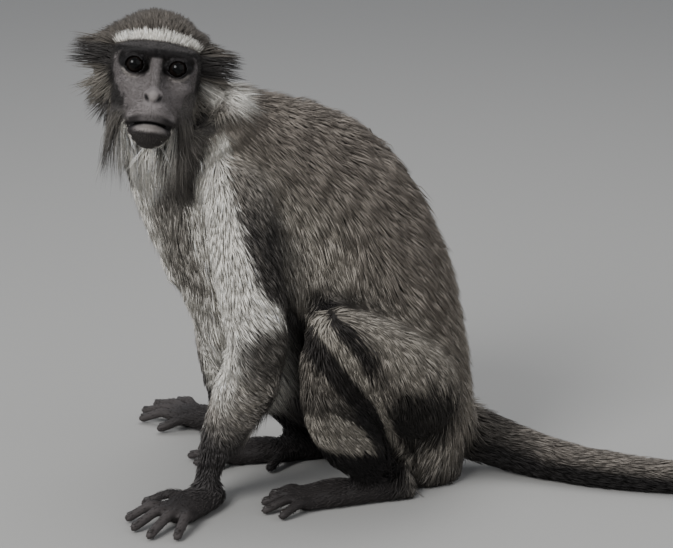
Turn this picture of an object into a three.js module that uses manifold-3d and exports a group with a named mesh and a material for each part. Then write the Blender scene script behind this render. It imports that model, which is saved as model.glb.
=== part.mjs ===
// A seated guenon of the Diana monkey's kind, at life size, as a still museum model.
// Millimetres, +Z up. The animal faces -X, its left side is at -Y, and it rests on the floor at Z = 0.
// The origin is on the floor, in the middle of the flat under its rump.
// Every solid reaches out to the tips of the coat. Neighbouring solids keep a small gap.
import * as THREE from "three";
import { mergeVertices } from "three/addons/utils/BufferGeometryUtils.js";
import Module from "manifold-3d";

const wasm = await Module();
wasm.setup();

// ---------------------------------------------------------------- driving dimensions
const GAP = 0.4; // clearance between neighbouring solids
const LEFT = -1; // the animal's left side is at -Y
const RIGHT = 1;

// Trunk and neck: points on the outline of the back and of the belly, as [x, z], and the half width there.
const TRUNK = [
  { back: [6, -4], belly: [-40, -4], half: 28 },
  { back: [22, 22], belly: [-60, 10], half: 46 },
  { back: [27, 58], belly: [-86, 34], half: 58 },
  { back: [23, 104], belly: [-116, 46], half: 66 },
  { back: [14, 155], belly: [-147, 63], half: 70 },
  { back: [-2, 212], belly: [-176, 88], half: 71 },
  { back: [-26, 258], belly: [-202, 124], half: 66 },
  { back: [-64, 303], belly: [-222, 168], half: 60 },
  { back: [-108, 325], belly: [-240, 202], half: 54 },
  { back: [-150, 333], belly: [-253, 236], half: 48 },
  { back: [-186, 344], belly: [-262, 270], half: 41 },
  { back: [-208, 348], belly: [-262, 300], half: 32 },
];
const TRUNK_CUTS = { rump: 0.25, abdomen: 0.53, chest: 0.76 }; // share of the outline where each node ends

// Head: where the point midway between the eyes is, and how the head is turned, in degrees.
// Inside the head's own frame the axes are forward, left and up.
const HEAD = { at: [-238, -62, 363], heading: 264, pitch: 10, roll: -8 };
const EYE = { radius: 9, apart: 32, forward: -9.5, up: -0.5 };
const EAR = { height: 30, width: 22, thick: 5, at: [-52, 46, -0.5], flare: 28 };

// Limbs: centre line points with the radii there; a pair of radii is the side view's first.
const ARM = {
  left: [
    { at: [-176, -42, 268], r: [30, 24] },
    { at: [-176, -62, 236], r: [32, 27] },
    { at: [-172, -76, 190], r: [31, 28] },
    { at: [-168, -80, 150], r: [26, 26] },
    { at: [-177, -68, 112], r: [25, 24] },
    { at: [-190, -51, 72], r: [20, 20] },
    { at: [-199, -36, 38], r: [14, 16] },
    { at: [-203, -32, 16], r: [12, 14] },
  ],
  right: [
    { at: [-170, 42, 268], r: [30, 24] },
    { at: [-170, 62, 232], r: [31, 26] },
    { at: [-168, 82, 188], r: [29, 26] },
    { at: [-168, 100, 146], r: [25, 25] },
    { at: [-170, 113, 108], r: [24, 23] },
    { at: [-169, 124, 70], r: [19, 20] },
    { at: [-166, 132, 38], r: [14, 16] },
    { at: [-165, 136, 16], r: [12, 14] },
  ],
};
const ELBOW = 3; // index of the station at the elbow
const WRIST = 31; // height of the cut between forearm and hand
const THIGH = {
  left: [
    { at: [-24, -44, 78], r: [38, 32] },
    { at: [-48, -62, 103], r: [42, 33] },
    { at: [-82, -76, 133], r: [35, 29] },
    { at: [-115, -84, 160], r: [23, 24] },
  ],
  right: [
    { at: [-26, 44, 76], r: [38, 32] },
    { at: [-58, 62, 98], r: [41, 33] },
    { at: [-95, 78, 124], r: [33, 29] },
    { at: [-130, 86, 146], r: [23, 24] },
  ],
};
const SHANK = {
  left: [
    { at: [-121, -86, 142], r: [19, 20] },
    { at: [-114, -86, 104], r: [25, 20] },
    { at: [-98, -76, 66], r: [27, 19] },
    { at: [-72, -58, 30], r: [19, 15] },
  ],
  right: [
    { at: [-139, 86, 130], r: [19, 20] },
    { at: [-140, 82, 98], r: [25, 20] },
    { at: [-127, 68, 64], r: [26, 19] },
    { at: [-106, 54, 30], r: [18, 15] },
  ],
};
const ANKLE = 30; // height of the cut between shank and foot
const HAND = { length: 50, width: 38, thick: 18, digits: 4, digit: 45, digitRadius: 5.7, heel: 2 };
const HAND_AT = {
  left: { at: [-195, -31, 0], heading: 220 },
  right: { at: [-162, 130, 0], heading: 132 },
};
const FOOT = { length: 84, width: 32, thick: 22, digits: 4, digit: 38, digitRadius: 5.4, heel: 8 };
const FOOT_AT = {
  left: { at: [-47, -50, 0], heading: 183 },
  right: { at: [-88, 52, 0], heading: 177 },
};

// Tail: it leaves the rump, comes down to the floor and curves round on it.
const TAIL = [
  { at: [0, 0, 44], r: 26 },
  { at: [36, -6, 31], r: 23 },
  { at: [74, -26, 20], r: 19 },
  { at: [120, -56, 15], r: 16 },
  { at: [180, -84, 13], r: 14 },
  { at: [252, -104, 12.5], r: 13.5 },
  { at: [332, -104, 12.2], r: 13.2 },
  { at: [402, -76, 12], r: 13 },
  { at: [456, -24, 11.2], r: 12.2 },
  { at: [484, 42, 8.5], r: 9.5 },
];
const TAIL_LENGTHS = 6;

// ---------------------------------------------------------------- colours
const finish = (color, roughness) =>
  new THREE.MeshStandardMaterial({ color, roughness, metalness: 0 });
const MATERIALS = {
  coat: finish(0x5b5852, 0.85),
  pale: finish(0xb9b5ab, 0.85),
  dark: finish(0x2e2c2a, 0.8),
  face: finish(0x6d6a68, 0.6),
  eye: finish(0x140d08, 0.1),
};

// ---------------------------------------------------------------- solids
const vec = (a) => new THREE.Vector3(...a);

function toSolid(geometry) {
  const plain = geometry.clone();
  for (const name of Object.keys(plain.attributes))
    if (name !== "position") plain.deleteAttribute(name);
  const merged = mergeVertices(plain, 1e-4);
  const make = (triVerts) =>
    new wasm.Manifold(
      new wasm.Mesh({ numProp: 3, vertProperties: merged.attributes.position.array, triVerts }),
    );
  const solid = make(new Uint32Array(merged.index.array));
  return solid.volume() > 0 ? solid : make(new Uint32Array(merged.index.array).reverse());
}

function largest(solid) {
  const pieces = solid.decompose().sort((a, b) => b.volume() - a.volume());
  return pieces[0];
}

const join = (solids) => solids.reduce((all, next) => all.add(next));
const cut = (solid, ...tools) => largest(tools.reduce((rest, tool) => rest.subtract(tool), solid));
const aboveFloor = (solid) => solid.trimByPlane([0, 0, 1], 0);

function toMesh(name, solid, material) {
  const mesh = solid.getMesh();
  const positions = new Float32Array(mesh.numVert * 3);
  for (let i = 0; i < mesh.numVert; i++)
    positions.set(mesh.vertProperties.subarray(i * mesh.numProp, i * mesh.numProp + 3), i * 3);
  const geometry = new THREE.BufferGeometry()
    .setAttribute("position", new THREE.BufferAttribute(positions, 3))
    .setIndex(new THREE.BufferAttribute(mesh.triVerts, 1));
  geometry.computeVertexNormals();
  const made = new THREE.Mesh(geometry, material);
  made.name = name;
  return made;
}

// A closed surface from rings of points, with a point at each end.
function closeRings(rings, first, last) {
  const points = [first, ...rings.flat(), last];
  const sides = rings[0].length;
  const index = [];
  const at = (ring, side) => 1 + ring * sides + (side % sides);
  for (let s = 0; s < sides; s++) {
    index.push(0, at(0, s + 1), at(0, s));
    for (let r = 0; r + 1 < rings.length; r++)
      index.push(at(r, s), at(r, s + 1), at(r + 1, s), at(r, s + 1), at(r + 1, s + 1), at(r + 1, s));
    index.push(points.length - 1, at(rings.length - 1, s), at(rings.length - 1, s + 1));
  }
  return new THREE.BufferGeometry().setFromPoints(points).setIndex(index);
}

// A smooth tube through sections { centre, across, over }, each with two half axes, with a dome at each end.
function loft(sections, { sides = 16, rings = 12, dome = 0.6, caps = [0.85, 0.5], grow = 0 } = {}) {
  const smooth = (key) =>
    new THREE.CatmullRomCurve3(sections.map((s) => s[key]), false, "centripetal");
  const [centre, across, over] = [smooth("centre"), smooth("across"), smooth("over")];
  const wider = (axis) => axis.clone().setLength(axis.length() + grow);
  const ring = (t, scale, shift) => {
    const c = centre.getPoint(t).add(shift);
    const [a, b] = [wider(across.getPoint(t)), wider(over.getPoint(t))];
    return Array.from({ length: sides }, (_, s) => {
      const turn = (2 * Math.PI * s) / sides;
      return c
        .clone()
        .addScaledVector(a, scale * Math.cos(turn))
        .addScaledVector(b, scale * Math.sin(turn));
    });
  };
  const end = (t, sign) => {
    const reach = (dome * (across.getPoint(t).length() + over.getPoint(t).length())) / 2 + grow;
    return centre.getTangent(t).multiplyScalar(sign * reach);
  };
  const [out, on] = [end(0, -1), end(1, 1)];
  const all = [
    ...caps.map((h) => ring(0, Math.sqrt(1 - h * h), out.clone().multiplyScalar(h))),
    ...Array.from({ length: rings + 1 }, (_, i) => ring(i / rings, 1, new THREE.Vector3())),
    ...[...caps].reverse().map((h) => ring(1, Math.sqrt(1 - h * h), on.clone().multiplyScalar(h))),
  ];
  return toSolid(closeRings(all, centre.getPoint(0).add(out), centre.getPoint(1).add(on)));
}

// Sections of a limb from centre line points and their two radii: the first in the plane of the side view.
function limb(points) {
  const line = new THREE.CatmullRomCurve3(points.map((p) => vec(p.at)), false, "centripetal");
  return points.map((p, i) => {
    const along = line.getTangent(i / (points.length - 1));
    const [wide, deep] = Array.isArray(p.r) ? p.r : [p.r, p.r];
    const across = new THREE.Vector3(0, 1, 0).cross(along).setLength(wide);
    const over = along.clone().cross(across).setLength(deep);
    return { centre: vec(p.at), across, over };
  });
}

// The pieces between planes that each stand at a point, square to a direction.
function partAt(solid, planes) {
  const pieces = [];
  let rest = solid;
  for (const { point, along } of planes) {
    const n = along.clone().normalize();
    const offset = n.dot(point);
    pieces.push(largest(rest.trimByPlane(n.clone().negate().toArray(), -(offset - GAP / 2))));
    rest = rest.trimByPlane(n.toArray(), offset + GAP / 2);
  }
  return [...pieces, largest(rest)];
}

// ---------------------------------------------------------------- trunk, neck and tail
function trunkSections() {
  return TRUNK.map(({ back, belly, half }) => {
    const [b, f] = [vec([back[0], 0, back[1]]), vec([belly[0], 0, belly[1]])];
    return {
      centre: b.clone().add(f).multiplyScalar(0.5),
      across: b.clone().sub(f).multiplyScalar(0.5),
      over: new THREE.Vector3(0, half, 0),
    };
  });
}

const trunkLoft = (grow = 0) => loft(trunkSections(), { sides: 18, rings: 14, dome: 0.5, caps: [0.7], grow });

function planeOnTrunk(share) {
  const sections = trunkSections();
  const curve = (key) =>
    new THREE.CatmullRomCurve3(sections.map((s) => s[key]), false, "centripetal");
  const point = curve("centre").getPoint(share);
  const along = curve("across").getPoint(share).cross(new THREE.Vector3(0, 1, 0));
  return { point, along: along.multiplyScalar(Math.sign(along.dot(curve("centre").getTangent(share)))) };
}

function tailPlanes() {
  const line = new THREE.CatmullRomCurve3(TAIL.map((p) => vec(p.at)), false, "centripetal");
  return Array.from({ length: TAIL_LENGTHS - 1 }, (_, i) => {
    const t = (i + 1) / TAIL_LENGTHS;
    return { point: line.getPointAt(t), along: line.getTangentAt(t) };
  });
}

// ---------------------------------------------------------------- head
const smoothMin = (a, b, k) => {
  const h = Math.max(k - Math.abs(a - b), 0) / k;
  return Math.min(a, b) - (h * h * k) / 4;
};
const smoothMax = (a, b, k) => -smoothMin(-a, -b, k);

function egg(p, centre, radii) {
  const q = p.clone().sub(vec(centre));
  const k0 = q.clone().divide(vec(radii)).length();
  const k1 = q.clone().divide(vec(radii)).divide(vec(radii)).length();
  return k1 > 0 ? (k0 * (k0 - 1)) / k1 : -Math.min(...radii);
}

function bar(p, from, to, r0, r1) {
  const [a, b] = [vec(from), vec(to)];
  const ab = b.clone().sub(a);
  const t = THREE.MathUtils.clamp(p.clone().sub(a).dot(ab) / ab.lengthSq(), 0, 1);
  return p.distanceTo(a.addScaledVector(ab, t)) - (r0 + (r1 - r0) * t);
}

// Signed distance to the head, ruff and tufts included, at p = (forward, left, up).
function headField(point) {
  const p = new THREE.Vector3(point.x, Math.abs(point.y), point.z);
  let d = egg(p, [-48, 0, 4], [46, 42, 40]); // cap of the skull
  d = smoothMin(d, egg(p, [-24, 0, -16], [24, 31, 32]), 10); // middle of the face
  d = smoothMin(d, bar(p, [-5, 0, 11], [-9, 20, 10], 8, 7.5), 8); // brow ridge
  d = smoothMin(d, egg(p, [-38, 32, -16], [24, 22, 34]), 12); // cheek ruff
  d = smoothMin(d, bar(p, [-36, 34, 5], [-40, 68, 0], 15, 5), 9); // pointed tuft at the temple
  d = smoothMin(d, egg(p, [-14, 18, -17], [9, 10, 9]), 8); // cheek bone
  d = smoothMax(d, -egg(p, [4, EYE.apart / 2, -0.5], [8.5, 9, 7.5]), 5); // socket
  d = smoothMin(d, bar(p, [-3, 0, 4], [19, 0, -22], 5, 5.5), 6); // bridge and tip of the nose
  d = smoothMin(d, bar(p, [-16, 0, -26], [10, 0, -36], 20, 14.5), 9); // muzzle
  d = smoothMin(d, bar(p, [10, 3, -35], [12, 11, -38], 11, 7), 5); // upper lip
  d = smoothMin(d, bar(p, [-30, 0, -42], [6, 0, -51], 17, 11), 5); // lower jaw and chin
  return d;
}

// Points where rays from a centre leave the field, on circles about the forward axis, closest in front.
function castHead(centre, { rings = 20, sides = 30, reach = 130 } = {}) {
  const leave = (direction) => {
    let [near, far] = [4, reach];
    for (let i = 0; i < 26; i++) {
      const middle = (near + far) / 2;
      if (headField(centre.clone().addScaledVector(direction, middle)) < 0) near = middle;
      else far = middle;
    }
    return centre.clone().addScaledVector(direction, near);
  };
  const circles = Array.from({ length: rings }, (_, r) => {
    const t = (r + 1) / (rings + 1);
    const polar = Math.PI * (0.58 * t + 0.42 * t * t * t);
    return Array.from({ length: sides }, (_, s) => {
      const turn = (2 * Math.PI * s) / sides;
      const side = Math.sin(polar);
      return leave(
        new THREE.Vector3(Math.cos(polar), side * Math.cos(turn), side * Math.sin(turn)),
      );
    });
  });
  return toSolid(closeRings(circles, leave(vec([1, 0, 0])), leave(vec([-1, 0, 0]))));
}

function headGroup() {
  const group = new THREE.Group();
  const [x, y, z] = [HEAD.roll, -HEAD.pitch, HEAD.heading].map(THREE.MathUtils.degToRad);
  group.position.set(...HEAD.at);
  group.rotation.set(x, y, z, "ZYX");
  group.updateMatrix();
  return group;
}

// In the head's frame the animal's left is +Y, so a side of -1 in the world is +1 here.
const eyeBall = (side, grow = 0) =>
  toSolid(
    new THREE.SphereGeometry(EYE.radius + grow, 12, 8)
      .rotateZ(Math.PI / 2)
      .translate(EYE.forward, (-side * EYE.apart) / 2, EYE.up),
  );

function ear(side, grow = 0) {
  const shell = new THREE.SphereGeometry(1, 10, 6)
    .scale(EAR.thick / 2 + grow, EAR.width / 2 + grow, EAR.height / 2 + grow)
    .rotateZ(THREE.MathUtils.degToRad(side * EAR.flare))
    .translate(EAR.at[0], -side * EAR.at[1], EAR.at[2]);
  return toSolid(shell);
}

// ---------------------------------------------------------------- hands and feet
// A palm or sole along +X from the wrist, with its digits, resting on Z = 0; thumb is the side that has it.
function paw(spec, thumb, grow = 0) {
  const { length, width, thick, digits, digit, digitRadius, heel } = spec;
  const section = (x, z, w, h) => ({
    centre: vec([x, 0, z]),
    across: vec([0, w / 2, 0]),
    over: vec([0, 0, h / 2]),
  });
  const palm = loft(
    [
      section(-heel, thick * 0.5, width * 0.5, thick * 1.1),
      section(length * 0.25, thick * 0.52, width * 0.82, thick * 1.15),
      section(length * 0.7, thick * 0.42, width, thick * 0.95),
      section(length, thick * 0.34, width * 0.92, thick * 0.75),
    ],
    { sides: 10, rings: 3, dome: 0.5, caps: [0.7], grow },
  );
  const sweep = (from, out, r) => {
    const knuckle = from.clone().addScaledVector(out, 0.42).add(vec([0, 0, digitRadius * 0.9]));
    const tip = from.clone().add(out).setZ(r * 0.72);
    const points = [from, knuckle, tip].map((at, i) => ({ at: at.toArray(), r: r * (1 - 0.12 * i) }));
    return loft(limb(points), { sides: 5, rings: 2, dome: 0.9, caps: [0.65], grow });
  };
  const fingers = Array.from({ length: digits }, (_, i) => {
    const share = (i + 0.5) / digits - 0.5;
    const spread = share * 1.12;
    const size = digit * (1 - 0.28 * Math.abs(share + thumb * 0.08) * 2);
    const root = vec([length * 0.94 - Math.abs(share) * 10, share * width * 0.92, digitRadius * 1.15]);
    const out = vec([Math.cos(spread), Math.sin(spread), 0]).multiplyScalar(size);
    return sweep(root, out, digitRadius);
  });
  const thumbRoot = vec([length * 0.36, thumb * width * 0.34, digitRadius * 1.3]);
  const thumbOut = vec([0.72, thumb * 0.7, 0]).multiplyScalar(digit * 0.78);
  return join([palm, ...fingers, sweep(thumbRoot, thumbOut, digitRadius * 1.05)]);
}

function placed(solid, { at, heading }) {
  const matrix = new THREE.Matrix4()
    .makeRotationZ(THREE.MathUtils.degToRad(heading))
    .setPosition(...at);
  return solid.transform(matrix.toArray());
}

// ---------------------------------------------------------------- the animal
const level = (height) => ({ point: vec([0, 0, height]), along: vec([0, 0, -1]) });

// The lofts and paws of one side, all a clearance larger when grow is given.
function limbSolids(name, side, grow = 0) {
  return {
    arm: loft(limb(ARM[name]), { sides: 12, rings: 9, caps: [0.7], grow }),
    hand: placed(paw(HAND, side, grow), HAND_AT[name]),
    thigh: loft(limb(THIGH[name]), { sides: 12, rings: 4, caps: [0.7], grow }),
    shank: loft(limb(SHANK[name]), { sides: 10, rings: 4, caps: [0.7], grow }),
    foot: placed(paw(FOOT, side, grow), FOOT_AT[name]),
  };
}

function build() {
  const monkey = new THREE.Group();
  monkey.name = "seated_monkey";
  const add = (parent, name, solid, material) => parent.add(toMesh(name, solid, material));

  // Head, in its own turned group.
  const head = headGroup();
  monkey.add(head);
  const skull = castHead(vec([-26, 0, -14]));
  const earTools = [ear(LEFT, GAP), ear(RIGHT, GAP)];
  add(head, "head", cut(skull, eyeBall(LEFT, GAP), eyeBall(RIGHT, GAP), ...earTools), MATERIALS.coat);
  add(head, "left_eye", eyeBall(LEFT), MATERIALS.eye);
  add(head, "right_eye", eyeBall(RIGHT), MATERIALS.eye);
  add(head, "left_ear", ear(LEFT), MATERIALS.dark);
  add(head, "right_ear", ear(RIGHT), MATERIALS.dark);
  const headTool = join([skull, ...earTools]).transform(head.matrix.toArray());

  // Arms and legs.
  const limbs = new THREE.Group();
  monkey.add(limbs);
  const bodyTools = [];
  for (const [name, side] of [["left", LEFT], ["right", RIGHT]]) {
    const made = limbSolids(name, side);
    const grown = limbSolids(name, side, GAP);
    const line = new THREE.CatmullRomCurve3(ARM[name].map((p) => vec(p.at)), false, "centripetal");
    const share = ELBOW / (ARM[name].length - 1);
    const elbow = { point: line.getPoint(share), along: line.getTangent(share) };
    const arm = aboveFloor(join([made.arm, made.hand]));
    const [upper, fore, hand] = partAt(arm, [elbow, level(WRIST)]);
    add(limbs, name + "_upper_arm", upper, MATERIALS.coat);
    add(limbs, name + "_forearm", fore, MATERIALS.dark);
    add(limbs, name + "_hand", hand, MATERIALS.dark);
    const lower = cut(aboveFloor(join([made.shank, made.foot])), grown.thigh, grown.arm);
    const [shank, foot] = partAt(lower, [level(ANKLE)]);
    add(limbs, name + "_thigh", cut(made.thigh, grown.arm), MATERIALS.coat);
    add(limbs, name + "_shank", shank, MATERIALS.dark);
    add(limbs, name + "_foot", foot, MATERIALS.dark);
    bodyTools.push(grown.arm, grown.thigh, grown.shank, grown.foot);
  }

  // Trunk, neck and tail.
  const spine = new THREE.Group();
  monkey.add(spine);
  const whole = aboveFloor(trunkLoft());
  const planes = Object.values(TRUNK_CUTS).map(planeOnTrunk);
  const [rump, abdomen, chest, neck] = partAt(cut(whole, ...bodyTools, headTool), planes);
  add(spine, "rump", rump, MATERIALS.coat);
  add(spine, "abdomen", abdomen, MATERIALS.coat);
  add(spine, "chest", chest, MATERIALS.coat);
  add(spine, "neck", neck, MATERIALS.pale);
  const tail = aboveFloor(loft(limb(TAIL), { sides: 8, rings: 16, dome: 1, caps: [0.7] }));
  partAt(cut(tail, ...bodyTools, trunkLoft(GAP)), tailPlanes()).forEach((piece, i) =>
    add(spine, "tail_" + (i + 1), piece, MATERIALS.dark),
  );
  return monkey;
}

export default build();
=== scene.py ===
"""Looks of a seated guenon monkey of the Diana type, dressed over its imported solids. Metres, +Z up."""

import logging
import math
from collections.abc import Callable, Iterator
from dataclasses import dataclass, field, fields
from enum import Enum, auto

import bpy
import numpy as np
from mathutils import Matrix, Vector
from mathutils.bvhtree import BVHTree
from mathutils.kdtree import KDTree


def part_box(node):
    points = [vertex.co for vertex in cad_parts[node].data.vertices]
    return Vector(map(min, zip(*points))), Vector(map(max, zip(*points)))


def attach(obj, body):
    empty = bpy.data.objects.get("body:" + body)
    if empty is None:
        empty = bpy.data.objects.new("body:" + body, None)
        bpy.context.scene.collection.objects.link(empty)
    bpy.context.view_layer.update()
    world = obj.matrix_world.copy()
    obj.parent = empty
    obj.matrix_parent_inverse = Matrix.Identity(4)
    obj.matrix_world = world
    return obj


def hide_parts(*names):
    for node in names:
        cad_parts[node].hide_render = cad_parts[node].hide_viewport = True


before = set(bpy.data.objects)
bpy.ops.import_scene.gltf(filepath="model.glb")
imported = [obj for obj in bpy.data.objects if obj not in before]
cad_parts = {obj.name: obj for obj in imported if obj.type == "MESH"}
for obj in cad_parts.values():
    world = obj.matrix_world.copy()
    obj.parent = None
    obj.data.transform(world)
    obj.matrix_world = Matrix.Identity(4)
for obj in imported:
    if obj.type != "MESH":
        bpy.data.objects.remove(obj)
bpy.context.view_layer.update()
LOG = logging.getLogger("monkey")
Array = np.ndarray
Thing = bpy.types.Object
Triple = tuple[float, float, float]
MM = 0.001
UP = np.array([0.0, 0.0, 1.0])


# ---------------------------------------------------------------- small helpers
def unit(v: Array) -> Array:
    """Returns the vectors at length one."""
    return v / np.maximum(np.linalg.norm(v, axis=-1, keepdims=True), 1e-12)


def size(v: Array) -> Array:
    """Returns the length of each row."""
    return np.linalg.norm(v, axis=1)


def ease(x: Array, low: float, high: float) -> Array:
    """Returns 0 below low, 1 above high and a soft step between; low may be the larger."""
    t = np.clip((x - low) / (high - low), 0.0, 1.0)
    return t * t * (3.0 - 2.0 * t)


def mix(a: Array, b: Array, share: Array) -> Array:
    """Returns a where share is 0 and b where it is 1, row by row."""
    s = np.asarray(share)[..., None]
    return a * (1.0 - s) + b * s


def layered(colour: Array, *coats: tuple[Array, Array]) -> Array:
    """Lays tints over a colour, one after another.

    Args:
        colour: the colour underneath, one row for each place.
        coats: each tint with the share of it at each place.

    Returns:
        The colour on top.
    """
    for over, share in coats:
        colour = mix(colour, over, share)
    return colour


def hat(x: Array, centre: float, half: float, soft: float) -> Array:
    """Returns 1 within half of the centre, falling to 0 over soft beyond it."""
    return 1.0 - ease(np.abs(x - centre), half, half + soft)


def toward(forward: Array, left: Array, up: Array) -> Array:
    """Returns unit directions from their three parts, each a number or one for each place."""
    return unit(np.stack(np.broadcast_arrays(forward, left, up), 1))


def flattened(v: Array, out: Array) -> Array:
    """Returns the vectors without what they have along the outward directions."""
    return v - out * (v * out).sum(1, keepdims=True)


def ripple(p: Array, scale: float, seed: int) -> Array:
    """A soft, seeded variation over space, for blotches in colour, length and lie.

    Args:
        p: points, in metres.
        scale: rough distance between one high and the next, in metres.
        seed: which pattern.

    Returns:
        One value for each point, between about -1 and 1.
    """
    rng = np.random.default_rng(seed)
    total = np.zeros(len(p))
    for _ in range(6):
        way = unit(rng.normal(size=3)) * (2.0 * math.pi / scale) * rng.uniform(0.6, 1.5)
        total += np.sin(p @ way + rng.uniform(0, 6.28))
    return total / 3.2


def points_of(thing: Thing, what: str = "co") -> Array:
    """Reads a vector of each of the object's vertices.

    Args:
        thing: the mesh.
        what: which vector, the vertex's place if no other is named.

    Returns:
        The vectors, one row each.
    """
    flat = np.empty(len(thing.data.vertices) * 3, np.float32)
    thing.data.vertices.foreach_get(what, flat)
    return flat.reshape(-1, 3).astype(float)


def normals_of(thing: Thing) -> Array:
    """Returns the object's vertex normals, one row each."""
    return points_of(thing, "normal")


def set_points(thing: Thing, points: Array) -> None:
    """Writes the object's vertex positions."""
    thing.data.vertices.foreach_set("co", points.astype(np.float32).ravel())
    thing.data.update()


def select_only(*things: Thing) -> None:
    """Selects these objects and no others.

    Args:
        things: the objects, the one to be active first.
    """
    bpy.ops.object.select_all(action="DESELECT")
    for thing in things:
        thing.select_set(True)
    bpy.context.view_layer.objects.active = things[0]


def work(thing: Thing, kind: str, **settings: object) -> None:
    """Puts the object through one modifier and keeps the result.

    Args:
        thing: the mesh to work on.
        kind: which modifier.
        settings: the modifier's own settings.
    """
    select_only(thing)
    step = thing.modifiers.new(kind.lower(), kind)
    for name, value in settings.items():
        setattr(step, name, value)
    bpy.ops.object.modifier_apply(modifier=step.name)


def place(name: str, data: bpy.types.ID) -> Thing:
    """Makes an object of a mesh, lamp or camera.

    Args:
        name: the object's name.
        data: what it shows.

    Returns:
        The object, linked to the scene.
    """
    thing = bpy.data.objects.new(name, data)
    bpy.context.scene.collection.objects.link(thing)
    return thing


def started(add: Callable[..., set[str]], name: str = "", **settings: object) -> Thing:
    """Starts a piece from one of Blender's plain shapes.

    Args:
        add: the operator that adds the shape.
        name: the piece's name, or none if it is joined to others later.
        settings: the operator's own settings.

    Returns:
        The new object.
    """
    bpy.ops.object.select_all(action="DESELECT")
    add(**settings)
    thing = bpy.context.view_layer.objects.active
    if name:
        thing.name = thing.data.name = name
    return thing


def mesh_object(name: str, points: Array, faces: Array) -> Thing:
    """Makes a smooth object from faces that all have the same number of corners.

    Args:
        name: the object's name.
        points: vertex positions, in metres.
        faces: vertex numbers, one row for each face.

    Returns:
        The object, linked to the scene.
    """
    mesh = bpy.data.meshes.new(name)
    mesh.vertices.add(len(points))
    mesh.vertices.foreach_set("co", points.astype(np.float32).ravel())
    mesh.loops.add(faces.size)
    mesh.loops.foreach_set("vertex_index", faces.astype(np.int32).ravel())
    mesh.polygons.add(len(faces))
    mesh.polygons.foreach_set("loop_start", np.arange(0, faces.size, faces.shape[1], dtype=np.int32))
    mesh.update(calc_edges=True)
    smooth_over(mesh)
    return place(name, mesh)


def smooth_over(mesh: bpy.types.Mesh) -> None:
    """Shades every face of the mesh smooth."""
    mesh.polygons.foreach_set("use_smooth", np.ones(len(mesh.polygons), bool))
    mesh.update()


def paint(thing: Thing, colours: Array) -> None:
    """Keeps a linear colour for each vertex of the object, for its finish to read.

    Args:
        thing: the mesh.
        colours: one row for each vertex.
    """
    rgba = np.ones((len(colours), 4), np.float32)
    rgba[:, :3] = np.clip(colours, 0.0, 1.0)
    layer = thing.data.color_attributes.new("coat", "FLOAT_COLOR", "POINT")
    layer.data.foreach_set("color", rgba.ravel())


# ---------------------------------------------------------------- the animal's build
class Part(Enum):
    """The parts of the body that have a coat of their own kind."""

    NECK = auto()
    CHEST = auto()
    ABDOMEN = auto()
    RUMP = auto()
    TAIL = auto()
    UPPER_ARM = auto()
    FOREARM = auto()
    HAND = auto()
    THIGH = auto()
    SHANK = auto()
    FOOT = auto()


@dataclass(frozen=True)
class Bone:
    """A straight stretch of the body, from its upper or front end to its lower or rear end."""

    part: Part
    side: int  # -1 left, 1 right, 0 in the middle
    start: Array
    end: Array
    radius: float

    @property
    def line(self) -> Array:
        """Returns the stretch from start to end."""
        return self.end - self.start

    @property
    def way(self) -> Array:
        """Returns the unit direction from start to end."""
        return unit(self.line)

    def share(self, p: Array) -> Array:
        """Returns how far along the bone each point lies, from 0 to 1."""
        return np.clip((p - self.start) @ self.line / (self.line @ self.line), 0, 1)


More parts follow.
